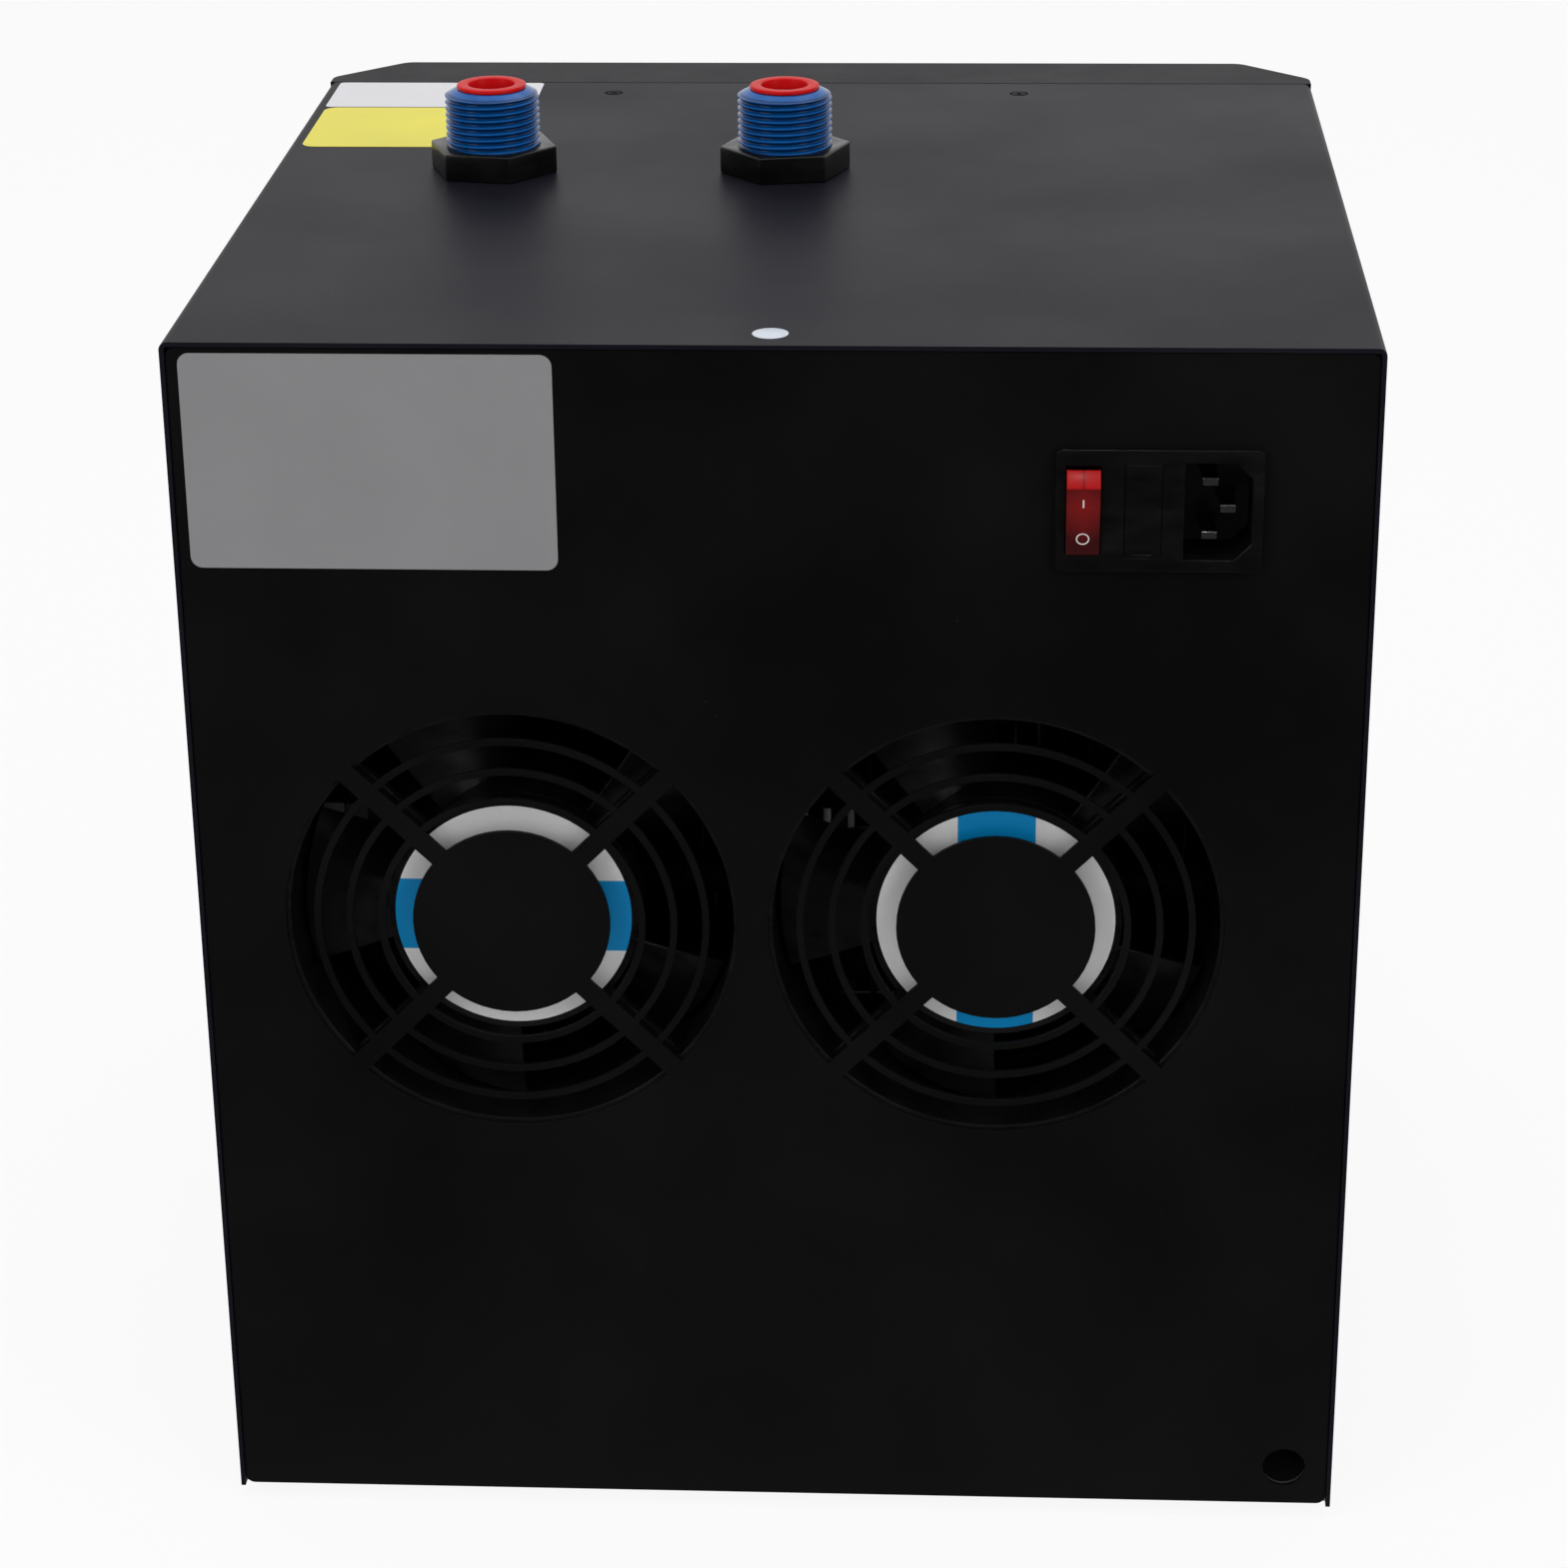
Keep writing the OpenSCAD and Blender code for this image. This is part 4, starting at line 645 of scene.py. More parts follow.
class Bench:
    """Modelling steps, each done with Blender's own operators."""

    def __init__(self, frame: dict) -> None:
        """Keeps the frame.
        """
        self.frame = frame

    def clear(self) -> None:
        """Leaves edit mode and deselects everything."""
        if bpy.context.object is not None and bpy.context.object.mode != "OBJECT":
            bpy.ops.object.mode_set(mode="OBJECT")
        bpy.ops.object.select_all(action="DESELECT")

    def take(self, *objects: bpy.types.Object) -> None:
        """Selects objects and makes the first one active.

        Args:
            objects: The objects.
        """
        self.clear()
        for o in objects:
            o.select_set(True)
        bpy.context.view_layer.objects.active = objects[0]

    def edit(self) -> None:
        """Enters edit mode with everything selected."""
        bpy.ops.object.mode_set(mode="EDIT")
        bpy.ops.mesh.select_all(action="SELECT")

    def named(self, name: str) -> bpy.types.Object:
        """Names the active object and its mesh.

        Args:
            name: The name of both.

        Returns:
            The object.
        """
        obj = bpy.context.object
        obj.name = name
        obj.data.name = name
        return obj

    def apply(self, obj: bpy.types.Object, kind: str, **settings: object) -> None:
        """Adds a modifier and applies it.

        Args:
            obj: The object.
            kind: The modifier's type.
            settings: Its settings.
        """
        self.take(obj)
        modifier = obj.modifiers.new(kind.lower(), kind)
        for key, value in settings.items():
            setattr(modifier, key, value)
        bpy.ops.object.modifier_apply(modifier=modifier.name)

    def pick(self, obj: bpy.types.Object, wanted: Callable[[Vector], bool]) -> None:
        """Selects the vertices whose place passes a test, and stays in edit mode.

        Args:
            obj: The object, in edit mode.
            wanted: The test, on a vertex's place in the object.
        """
        bpy.ops.mesh.select_mode(type="VERT")
        bpy.ops.mesh.select_all(action="DESELECT")
        bpy.ops.object.mode_set(mode="OBJECT")
        for v in obj.data.vertices:
            v.select = wanted(v.co)
        bpy.ops.object.mode_set(mode="EDIT")

    def recalculate(self, obj: bpy.types.Object) -> None:
        """Turns all faces outwards, after doubles are merged.

        Args:
            obj: The closed object.
        """
        self.take(obj)
        self.edit()
        bpy.ops.mesh.remove_doubles(threshold=WELD)
        bpy.ops.mesh.normals_make_consistent(inside=False)
        bpy.ops.object.mode_set(mode="OBJECT")

    def smooth(self, obj: bpy.types.Object, angle: float = 35) -> None:
        """Shades smooth below an angle in degrees."""
        self.take(obj)
        bpy.ops.object.shade_smooth_by_angle(angle=math.radians(angle))

    def put(self, obj: bpy.types.Object, at: Point = (0, 0, 0), turn: Point = (0, 0, 0)) -> bpy.types.Object:
        """Turns and moves an object, and makes that its mesh's place.

        Args:
            obj: The object.
            at: Place of its origin, in metres.
            turn: Turn about each axis, in degrees.

        Returns:
            The object.
        """
        self.take(obj)
        obj.rotation_euler = tuple(math.radians(a) for a in turn)
        obj.location = at
        bpy.ops.object.transform_apply(location=True, rotation=True, scale=True)
        return obj

    def copy(self, obj: bpy.types.Object, name: str) -> bpy.types.Object:
        """Duplicates an object with a mesh of its own.

        Args:
            obj: The object.
            name: The copy's name.

        Returns:
            The copy.
        """
        self.take(obj)
        bpy.ops.object.duplicate()
        return self.named(name)

    def join(self, objects: list, name: str) -> bpy.types.Object:
        """Joins objects into one.

        Args:
            objects: The objects.
            name: The joined object's name.

        Returns:
            The joined object.
        """
        self.take(*objects)
        bpy.ops.object.join()
        return self.named(name)

    def turned(self, name: str, rings: list[Pair], sides: int = 96) -> bpy.types.Object:
        """A turned shape: a disc that is extruded and scaled from ring to ring along Z.

        Args:
            name: The piece's name.
            rings: Radius and height of each ring, in metres.
            sides: Sides of the circle.

        Returns:
            The closed shape, at the origin.
        """
        self.clear()
        radius, height = rings[0]
        bpy.ops.mesh.primitive_circle_add(
            vertices=sides, radius=radius, fill_type="NGON", location=(0, 0, height))
        obj = self.named(name)
        bpy.ops.object.transform_apply(location=True)
        self.edit()
        for r, z in rings[1:]:
            bpy.ops.mesh.extrude_region_move(TRANSFORM_OT_translate={"value": (0, 0, z - height)})
            bpy.ops.transform.resize(value=(r / radius, r / radius, 1), center_override=(0, 0, z))
            radius, height = r, z
        bpy.ops.object.mode_set(mode="OBJECT")
        self.recalculate(obj)
        return obj

    def plate(self, name: str, size: Pair, corner: float, thick: float) -> bpy.types.Object:
        """A thin plate in X and Y with round corners, whose lower face lies at Z = 0.

        Args:
            name: The piece's name.
            size: Width and height.
            corner: Corner radius.
            thick: Thickness.

        Returns:
            The plate, at the origin.
        """
        self.clear()
        bpy.ops.mesh.primitive_plane_add(size=1)
        obj = self.named(name)
        self.edit()
        bpy.ops.transform.resize(value=(*size, 1), center_override=(0, 0, 0))
        bpy.ops.mesh.bevel(offset=corner, segments=8, affect="VERTICES")
        bpy.ops.mesh.extrude_region_move(TRANSFORM_OT_translate={"value": (0, 0, thick)})
        bpy.ops.object.mode_set(mode="OBJECT")
        self.recalculate(obj)
        return obj

    def block(self, name: str, size: Point, at: Point) -> bpy.types.Object:
        """A plain box.

        Args:
            name: The piece's name.
            size: Its size along each axis.
            at: Its middle.

        Returns:
            The box.
        """
        self.clear()
        bpy.ops.mesh.primitive_cube_add(size=1, location=at)
        obj = self.named(name)
        self.edit()
        bpy.ops.transform.resize(value=size, center_override=at)
        bpy.ops.object.mode_set(mode="OBJECT")
        bpy.ops.object.transform_apply(location=True)
        return obj

    def thread(self, name: str, root: float, crest: float, pitch: float,
               low: float, high: float) -> bpy.types.Object:
        """A screw thread about Z, cut flat at both ends.

        Args:
            name: The piece's name.
            root: Radius inside which the thread is buried.
            crest: Its outer radius.
            pitch: Rise of one turn.
            low: Height where it starts.
            high: Height where it ends.

        Returns:
            The thread.
        """
        self.clear()
        depth, middle, start = crest - root, (root + crest) / 2, low - pitch
        root_share, crest_share, steps = 0.98, 0.16, 72
        bpy.ops.mesh.primitive_plane_add(size=1, rotation=(math.radians(90), 0, 0))
        obj = self.named(name)
        bpy.ops.object.transform_apply(rotation=True)
        self.edit()
        bpy.ops.transform.resize(value=(depth, 1, pitch * root_share), center_override=(0, 0, 0))
        bpy.ops.transform.translate(value=(middle, 0, start))
        self.pick(obj, lambda co: co.x > middle)
        bpy.ops.transform.resize(value=(1, 1, crest_share), center_override=(crest, 0, start))
        bpy.ops.mesh.select_all(action="SELECT")
        bpy.ops.mesh.delete(type="ONLY_FACE")
        bpy.ops.object.mode_set(mode="OBJECT")
        turns = math.ceil((high - low) / pitch) + 2
        self.apply(obj, "SCREW", screw_offset=pitch, iterations=turns, steps=steps, render_steps=steps,
                   axis="Z")
        self.take(obj)
        self.edit()
        bpy.ops.mesh.fill_holes(sides=4)
        for height, side in ((low, -1), (high, 1)):
            bpy.ops.mesh.select_all(action="SELECT")
            bpy.ops.mesh.bisect(
                plane_co=(0, 0, height), plane_no=(0, 0, side), use_fill=True, clear_outer=True)
        bpy.ops.object.mode_set(mode="OBJECT")
        self.recalculate(obj)
        return obj

    def cut(self, obj: bpy.types.Object, tool: bpy.types.Object) -> None:
        """Cuts one closed shape out of another and deletes the tool."""
        self.apply(obj, "BOOLEAN", operation="DIFFERENCE", object=tool, solver="EXACT")
        bpy.data.objects.remove(tool)

    def copy_of(self, node: str, name: str) -> bpy.types.Object:
        """A copy of a CAD node, merged and with its flat faces made whole, which keeps its place.

        Args:
            node: The node.
            name: The copy's name.

        Returns:
            The copy, free of the frame's marks.
        """
        flat = math.radians(0.3)
        obj = self.copy(self.frame["nodes"][node], name)
        obj.parent = None
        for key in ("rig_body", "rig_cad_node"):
            del obj[key]
        self.take(obj)
        bpy.ops.mesh.customdata_custom_splitnormals_clear()
        self.edit()
        bpy.ops.mesh.remove_doubles(threshold=WELD)
        bpy.ops.mesh.dissolve_limited(angle_limit=flat)
        bpy.ops.object.mode_set(mode="OBJECT")
        return obj

    def softened(self, node: str, name: str, edge: float, segments: int = 2) -> bpy.types.Object:
        """A copy of a CAD node whose sharp edges are rounded.

        Args:
            node: The node.
            name: The copy's name.
            edge: Radius of the edges.
            segments: Faces across each rounded edge.

        Returns:
            The rounded copy.
        """
        sharp = math.radians(28)
        obj = self.copy_of(node, name)
        self.apply(obj, "BEVEL", width=edge, segments=segments, limit_method="ANGLE", angle_limit=sharp,
                   use_clamp_overlap=True)
        self.smooth(obj)
        return obj

    def cable(self, name: str, points: list[Point], radius: float) -> bpy.types.Object:
        """A round cable that runs smoothly along some points.

        Args:
            name: The piece's name.
            points: Points of its middle line.
            radius: Half its thickness.

        Returns:
            The closed cable.
        """
        self.clear()
        bpy.ops.curve.primitive_bezier_curve_add(location=(0, 0, 0))
        path = bpy.context.object
        knots = path.data.splines[0].bezier_points
        knots.add(len(points) - len(knots))
        for knot, point in zip(knots, points):
            knot.co = point
            knot.handle_left_type = knot.handle_right_type = "VECTOR"
        path.data.resolution_u, path.data.bevel_resolution = 1, 2
        path.data.bevel_depth, path.data.use_fill_caps = radius, True
        self.take(path)
        bpy.ops.object.convert(target="MESH")
        obj = self.named(name)
        self.apply(obj, "SUBSURF", levels=2, render_levels=2)
        self.recalculate(obj)
        self.smooth(obj, angle=60)
        return obj

    def rounded_tube(self, node: str, name: str) -> bpy.types.Object:
        """A copy of a wound CAD node with its faceted tube made round.

        Args:
            node: The node.
            name: The copy's name.

        Returns:
            The round tube.
        """
        obj = self.copy_of(node, name)
        self.apply(obj, "SUBSURF", levels=1, render_levels=1)
        self.smooth(obj, angle=80)
        return obj

    def paint(self, obj: bpy.types.Object, finish: bpy.types.Material) -> None:
        """Gives an object one material and no other."""
        obj.data.materials.clear()
        obj.data.materials.append(finish)

    def fit_out(self, obj: bpy.types.Object, body: str, finish: bpy.types.Material, slot: str,
                *nodes: str) -> None:
        """Gives a piece its finish and its body, and hides the nodes it stands for.

        Args:
            obj: The piece.
            body: The body it rides on.
            finish: Its material.
            slot: The record's material slot; not used.
            nodes: CAD nodes that it replaces.
        """
        self.paint(obj, finish)
        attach(obj, body)
        if nodes:
            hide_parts(*nodes)
        LOG.info("%s rides on %s", obj.name, body)


@dataclass
class Palette:
    """Every finish of the chiller, made once."""

    made: dict = field(default_factory=dict)

    def add(self, *finishes: Finish) -> None:
        """Builds finishes and keeps them by name."""
        for finish in finishes:
            self.made[finish.name] = finish.build()

    def __getitem__(self, name: str) -> bpy.types.Material:
        """The material of that name."""
        return self.made[name]

    def common(self) -> None:
        """Builds the finishes that several sub-assemblies share."""
        self.add(
            PowderCoat("cover_coat", (0.007, 0.0064, 0.0108), 0.4, shine=0.05),
            PowderCoat("panel_coat", (0.0016, 0.0016, 0.0016), 0.6, shine=0.15, dust=0.06),
            Moulded("front_plastic", (0.0078, 0.0074, 0.0102), 0.45, shine=0.058, depth=0.03 * MM, flow=0.08),
            Moulded("fan_plastic", (0.0028, 0.0028, 0.003), 0.26, shine=0.36, flow=0.1),
            Moulded("nut_plastic", (0.0018, 0.0018, 0.0018), 0.24, shine=0.24, flow=0.15),
            Moulded("plug_plastic", (0.56, 0.0012, 0.0035), 0.36, shine=0.1, flow=0.06),
            Moulded("inlet_plastic", (0.0013, 0.0013, 0.0013), 0.22, shine=0.32, flow=0.1),
            Moulded("vessel_plastic", (0.68, 0.68, 0.65), 0.45, flow=0.05),
            Moulded("post_plastic", (0.7, 0.7, 0.66), 0.5, flow=0.05),
            Moulded("button_plastic", (0.03, 0.03, 0.032), 0.4),
            Sheet("galvanised", (0.5, 0.51, 0.52), 0.38),
            Metal("copper_tube", (0.72, 0.36, 0.2), 0.25, tarnish=(0.25, 0.1, 0.05)),
            # Near-black condenser coat: partly a real black coat, partly painted shade for the dark inside of
            # the case.
            PowderCoat("dip_coat", (0.006, 0.006, 0.0062), 0.5, shine=0.3, peel=1.5 * MM, dust=0.3),
            Metal("titanium", (0.5, 0.47, 0.44), 0.35, tarnish=(0.3, 0.27, 0.3)),
            Metal("clamp_band", (0.62, 0.63, 0.65), 0.25, tarnish=(0.35, 0.35, 0.36)),
            Metal("contact", (0.66, 0.66, 0.68), 0.22, tarnish=(0.4, 0.38, 0.33)),
            Metal("pin_plate", (0.3, 0.3, 0.31), 0.12, tarnish=(0.2, 0.19, 0.18)),
            PowderCoat("black_oxide", (0.0025, 0.0025, 0.0027), 0.5, shine=0.05, dust=0.05),
            Metal("motor_core", (0.35, 0.2, 0.1), 0.4, stretch=(1, 12, 1)),
            PowderCoat("can_enamel", (0.008, 0.008, 0.0085), 0.3, peel=2.0 * MM, dust=0.2),
            Elastic("rubber", (0.012, 0.012, 0.0125), 0.7),
            Elastic("sleeve", (0.006, 0.006, 0.0065), 0.6, pore=1.2 * MM),
            Elastic("foam", (0.018, 0.018, 0.019), 0.9, pore=1.6 * MM, depth=0.2 * MM),
            Laminate("board", (0.015, 0.1, 0.035), 0.35),
            Vinyl("label_grey", (0.262, 0.26, 0.268), 0.42, shine=0.3),
            Vinyl("label_yellow", (0.80, 0.725, 0.105), 0.5, shine=0.2),
            Vinyl("label_white", (0.74, 0.73, 0.76), 0.5, shine=0.2),
            Vinyl("seal_silver", (0.62, 0.67, 0.75), 0.35),
            Vinyl("mark_white", (0.8, 0.78, 0.76), 0.5),
        )


@dataclass(frozen=True)
class Label:
    """One blank label.

    Its place is the distance of its middle from the case's left edge and from the rear or top edge.
    """

    name: str
    finish: str
    slot: str
    size: Pair
    corner: float
    place: Pair
    upright: bool = False


@dataclass
class CaseWork:
    """The steel case, its labels, a dark strip of painted shade at its front joint, and its screws."""

    bench: Bench
    palette: Palette
    plain: dict = field(default_factory=lambda: {
        "outer_cover": "cover_coat", "rear_panel": "panel_coat", "base_tray": "galvanised",
        "front_frame": "galvanised", "rubber_feet": "rubber"})
    film: float = 0.12 * MM
    grey: Label = Label("rating_plate_blank", "label_grey", "panel_black", (92.5 * MM, 56.0 * MM), 3.0 * MM,
                        (50.55 * MM, 30.8 * MM), upright=True)
    white: Label = Label("top_label_white", "label_white", "steel_black", (62.8 * MM, 31.0 * MM), 1.5 * MM,
                         (34.8 * MM, 258.0 * MM))
    yellow: Label = Label("top_label_yellow", "label_yellow", "steel_black", (62.2 * MM, 47.4 * MM), 4.0 * MM,
                          (34.9 * MM, 217.8 * MM))
    dot_radius: float = 4.5 * MM
    dot_place: Pair = (150.0 * MM, 10.0 * MM)
    shade_strip_width: float = 1.0 * MM
    shade_strip_proud: float = 0.05 * MM
    head_radius: float = 2.3 * MM
    head_height: float = 0.75 * MM
    slot_shares: Pair = (1.05, 0.26)
    top_screw_x: float = 61.4 * MM
    top_screw_y: float = 13.7 * MM
    top_screw_turns: Pair = (18, 52)
    side_screw_z: float = 6.0 * MM
    side_screw_shares: Point = (0.15, 0.5, 0.85)

    def build(self) -> None:
        """Dresses the sheet metal, lays the labels and the strip of painted shade, and drives the screws."""
        for node, finish in self.plain.items():
            self.bench.paint(self.bench.frame["nodes"][node], self.palette[finish])
        self.labels()
        self.lay_shade_strip()
        self.screws()

    def labels(self) -> None:
        """Lays the blank labels and the inspection dot where the photograph has them."""
        left, rear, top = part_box("outer_cover")[1]
        for label in (self.grey, self.white, self.yellow):
            piece = self.bench.plate(label.name, label.size, label.corner, self.film)
            across, down = label.place
            if label.upright:
                self.bench.put(piece, (left - across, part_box("rear_panel")[1].y, top - down), (-90, 0, 0))
            else:
                self.bench.put(piece, (left - across, rear - down, top))
            self.stick(piece, label.finish, label.slot)
        r, t = self.dot_radius, self.film
        dot = self.bench.turned("inspection_dot", [(r, 0), (r, t), (r * 0.97, t * 1.4)], sides=48)
        self.bench.put(dot, (left - self.dot_place[0], rear - self.dot_place[1], top))
        self.stick(dot, "seal_silver", "steel_black")

    def stick(self, piece: bpy.types.Object, finish: str, slot: str) -> None:
        """Smooths a label and fixes it to the case."""
        self.bench.smooth(piece)
        self.bench.fit_out(piece, "case", self.palette[finish], slot)

    def lay_shade_strip(self) -> None:
        """Lays a thin dark strip, painted shade that stands in for the shadow gap where the cover meets the
        front moulding.
        """
        low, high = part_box("outer_cover")
        wide, deep = self.shade_strip_width, 2 * self.shade_strip_proud
        middle = (low.z + high.z) / 2
        # A dark strip of painted shade along the shadow gap of the joint.
        strips = [self.bench.block("shade_strip_top", (high.x - low.x, wide, deep), (0, low.y, high.z))]
        for x in (low.x, high.x):
            strips.append(self.bench.block(f"seal_{x > 0}", (deep, wide, high.z - low.z), (x, low.y, middle)))
        piece = self.bench.join(strips, "cover_shade_strip")
        self.bench.fit_out(piece, "case", self.palette["panel_coat"], "rubber")

    def screw_head(self) -> bpy.types.Object:
        """One cross-recessed flat head, with its face at Z = 0.

        Returns:
            The head, at the origin.
        """
        r, h = self.head_radius, self.head_height
        long, short = (r * share for share in self.slot_shares)
        deep = h * 1.5
        head = self.bench.turned("screw_head", [
            (r * 0.6, -2.4 * h), (r * 0.6, -h), (r, -h), (r, -0.15 * h), (r * 0.93, 0),
            (r * 0.5, 0.06 * h)], sides=40)
        for size in ((long, short, deep), (short, long, deep)):
            self.bench.cut(head, self.bench.block("slot", size, (0, 0, h * 0.15)))
        self.bench.smooth(head)
        return head

    def screws(self) -> None:
        """Puts a head on each screw of the cover."""
        low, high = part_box("outer_cover")
        x, y, z = self.top_screw_x, low.y + self.top_screw_y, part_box("base_tray")[0].z + self.side_screw_z
        spots = [((side * x, y, high.z), (0, 0, turn)) for side, turn in zip((-1, 1), self.top_screw_turns)]
        for share in self.side_screw_shares:
            y = low.y + (high.y - low.y) * share
            spots += [((side * high.x, y, z), (0, 90 * side, 0)) for side in (-1, 1)]
        head = self.screw_head()
        copies = [self.bench.put(self.bench.copy(head, f"head_{i}"), at, turn)
                  for i, (at, turn) in enumerate(spots)]
        bpy.data.objects.remove(head)
        piece = self.bench.join(copies, "cover_screw_heads")
        self.bench.fit_out(piece, "case", self.palette["black_oxide"], "screw", "cover_screws")


@dataclass
class WaterPorts:
    """The two threaded water ports with their nuts and plugs."""

    bench: Bench
    palette: Palette
    blue: Point = (0.0016, 0.09, 0.34)
    sides: int = 128
    crest: float = 13.2 * MM
    root: float = 12.35 * MM
    root_overlap: float = 0.3 * MM
    pitch: float = 1.814 * MM
    thread_rise: float = 1.5 * MM
    end: float = 10.0 * MM
    end_round: Pair = (0.3 * MM, 0.1 * MM)
    bevel: float = 1.5 * MM
    bevel_step: float = 0.35 * MM
    mouth: float = 7.9 * MM
    bore: float = 5.2 * MM
    bore_floor: float = 1.0 * MM
    tail: float = 8.2 * MM
    flange: float = 18.0 * MM
    flange_drop: float = 3.2 * MM
    flange_thick: float = 4.0 * MM
    plug_flange: float = 9.7 * MM
    plug_rim: float = 1.2 * MM
    plug_under: float = 0.25 * MM
    plug_outer_edge: tuple[Pair, ...] = ((0.0, -0.3 * MM), (-0.12 * MM, -0.1 * MM), (-0.35 * MM, 0.0))
    plug_inner_edge: tuple[Pair, ...] = ((0.5 * MM, 0.0), (0.15 * MM, -0.15 * MM), (0.0, -0.5 * MM))
    plug_bore: float = 6.45 * MM
    plug_body: float = 7.65 * MM
    plug_depth: float = 12.0 * MM
    plug_lead: Pair = (0.4 * MM, 0.6 * MM)
    plug_ledge: Pair = (0.7 * MM, 3.0 * MM)
    plug_ledge_step: float = 0.2 * MM
    plug_well: Pair = (0.8 * MM, 1.4 * MM)
    plug_floor: Pair = (1.4 * MM, 1.2 * MM)
    nut_radius: float = 18.47 * MM
    nut_bore: float = 12.35 * MM
    nut_edge: float = 0.45 * MM
    nut_turns: dict = field(default_factory=lambda: {"left": 20.0, "right": 40.0})

    def build(self) -> None:
        """Makes both ports."""
        for side in self.nut_turns:
            low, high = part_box(f"port_nipple_{side}")
            x, y = (low.x + high.x) / 2, (low.y + high.y) / 2
            self.palette.add(Threaded(
                f"port_plastic_{side}", self.blue, 0.16, shine=0.2, flow=0.1,
                centre=(x, y, 0), root=self.root, crest=self.crest))
            self.nipple(side, x, y, low.z, high.z)
            self.plug(side, x, y, high.z)
            self.nut(side, x, y)

    def nipple(self, side: str, x: float, y: float, low: float, top: float) -> None:
        """One bulkhead nipple with its real thread.

        Args:
            side: Which port.
            x: Place of its axis.
            y: Place of its axis.
            low: Height of its lower end.
            top: Height of its upper end.
        """
        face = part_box("outer_cover")[1].z
        under, lead = face - self.flange_drop, top - self.bevel
        collar, ledge = under - self.flange_thick, lead - self.plug_depth
        round_, step = self.end_round, self.bevel_step
        body = self.bench.turned(f"threaded_port_{side}", [
            (self.tail, low), (self.tail, collar), (self.flange, collar), (self.flange, under),
            (self.root, under), (self.root, lead - step), (self.crest - step, lead),
            (self.end + round_[0], top - round_[1]), (self.end, top), (self.mouth, top),
            (self.mouth, ledge), (self.bore, ledge), (self.bore, low + self.bore_floor)], self.sides)
        ridge = self.bench.thread("ridge", self.root - self.root_overlap, self.crest, self.pitch,
                                  face + self.thread_rise, lead)
        self.bench.cut(ridge, self.bench.turned("bore", [(self.end, face), (self.end, top)], self.sides // 2))
        piece = self.bench.join([body, ridge], f"threaded_port_{side}")
        self.bench.put(piece, (x, y, 0))
        self.bench.smooth(piece, angle=40)
        finish = self.palette[f"port_plastic_{side}"]
        self.bench.fit_out(piece, "case", finish, "port_blue", f"port_nipple_{side}")

    def nut(self, side: str, x: float, y: float) -> None:
        """One hexagon nut with barely broken corners.

        Args:
            side: Which port.
            x: Place of its axis.
            y: Place of its axis.
        """
        low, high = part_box(f"port_nut_{side}")
        tall, r, bore = high.z - low.z, self.nut_radius, self.nut_bore
        nut = self.bench.turned(f"hexagon_nut_{side}", [(r, 0), (r, tall)], sides=6)
        self.bench.cut(nut, self.bench.turned("bore", [(bore, -tall), (bore, 2 * tall)]))
        self.bench.apply(nut, "BEVEL", width=self.nut_edge, segments=3, limit_method="ANGLE")
        self.bench.put(nut, (x, y, low.z), (0, 0, self.nut_turns[side]))
        self.bench.smooth(nut)
        self.bench.fit_out(nut, "case", self.palette["nut_plastic"], "nut_black", f"port_nut_{side}")

    def plug(self, side: str, x: float, y: float, seat: float) -> None:
        """One shipping plug: a cup with a rolled rim and a ledge inside.

        Args:
            side: Which port.
            x: Place of its axis.
            y: Place of its axis.
            seat: Height of the nipple's end, where the rim rests.
        """
        flange, bore, body, under = self.plug_flange, self.plug_bore, self.plug_body, self.plug_under
        top, foot = seat + self.plug_rim, seat - self.plug_depth
        rings = [(body - self.plug_lead[0], foot), (body, foot + self.plug_lead[1]), (body, seat),
                 (flange - under, seat), (flange, seat + under)]
        rings += [(flange + r, top + z) for r, z in self.plug_outer_edge]
        rings += [(bore + r, top + z) for r, z in self.plug_inner_edge]
        rings += [(bore, seat - self.plug_ledge[1]),
                  (bore - self.plug_ledge[0], seat - self.plug_ledge[1] - self.plug_ledge_step),
                  (bore - self.plug_well[0], foot + self.plug_well[1]),
                  (bore - self.plug_floor[0], foot + self.plug_floor[1])]
        name, body_name = f"shipping_plug_{side}", f"port_plug_{side}"
        piece = self.bench.turned(name, rings)
        self.bench.put(piece, (x, y, 0))
        self.bench.smooth(piece, angle=40)
        self.bench.fit_out(piece, body_name, self.palette["plug_plastic"], "plug_red", body_name)


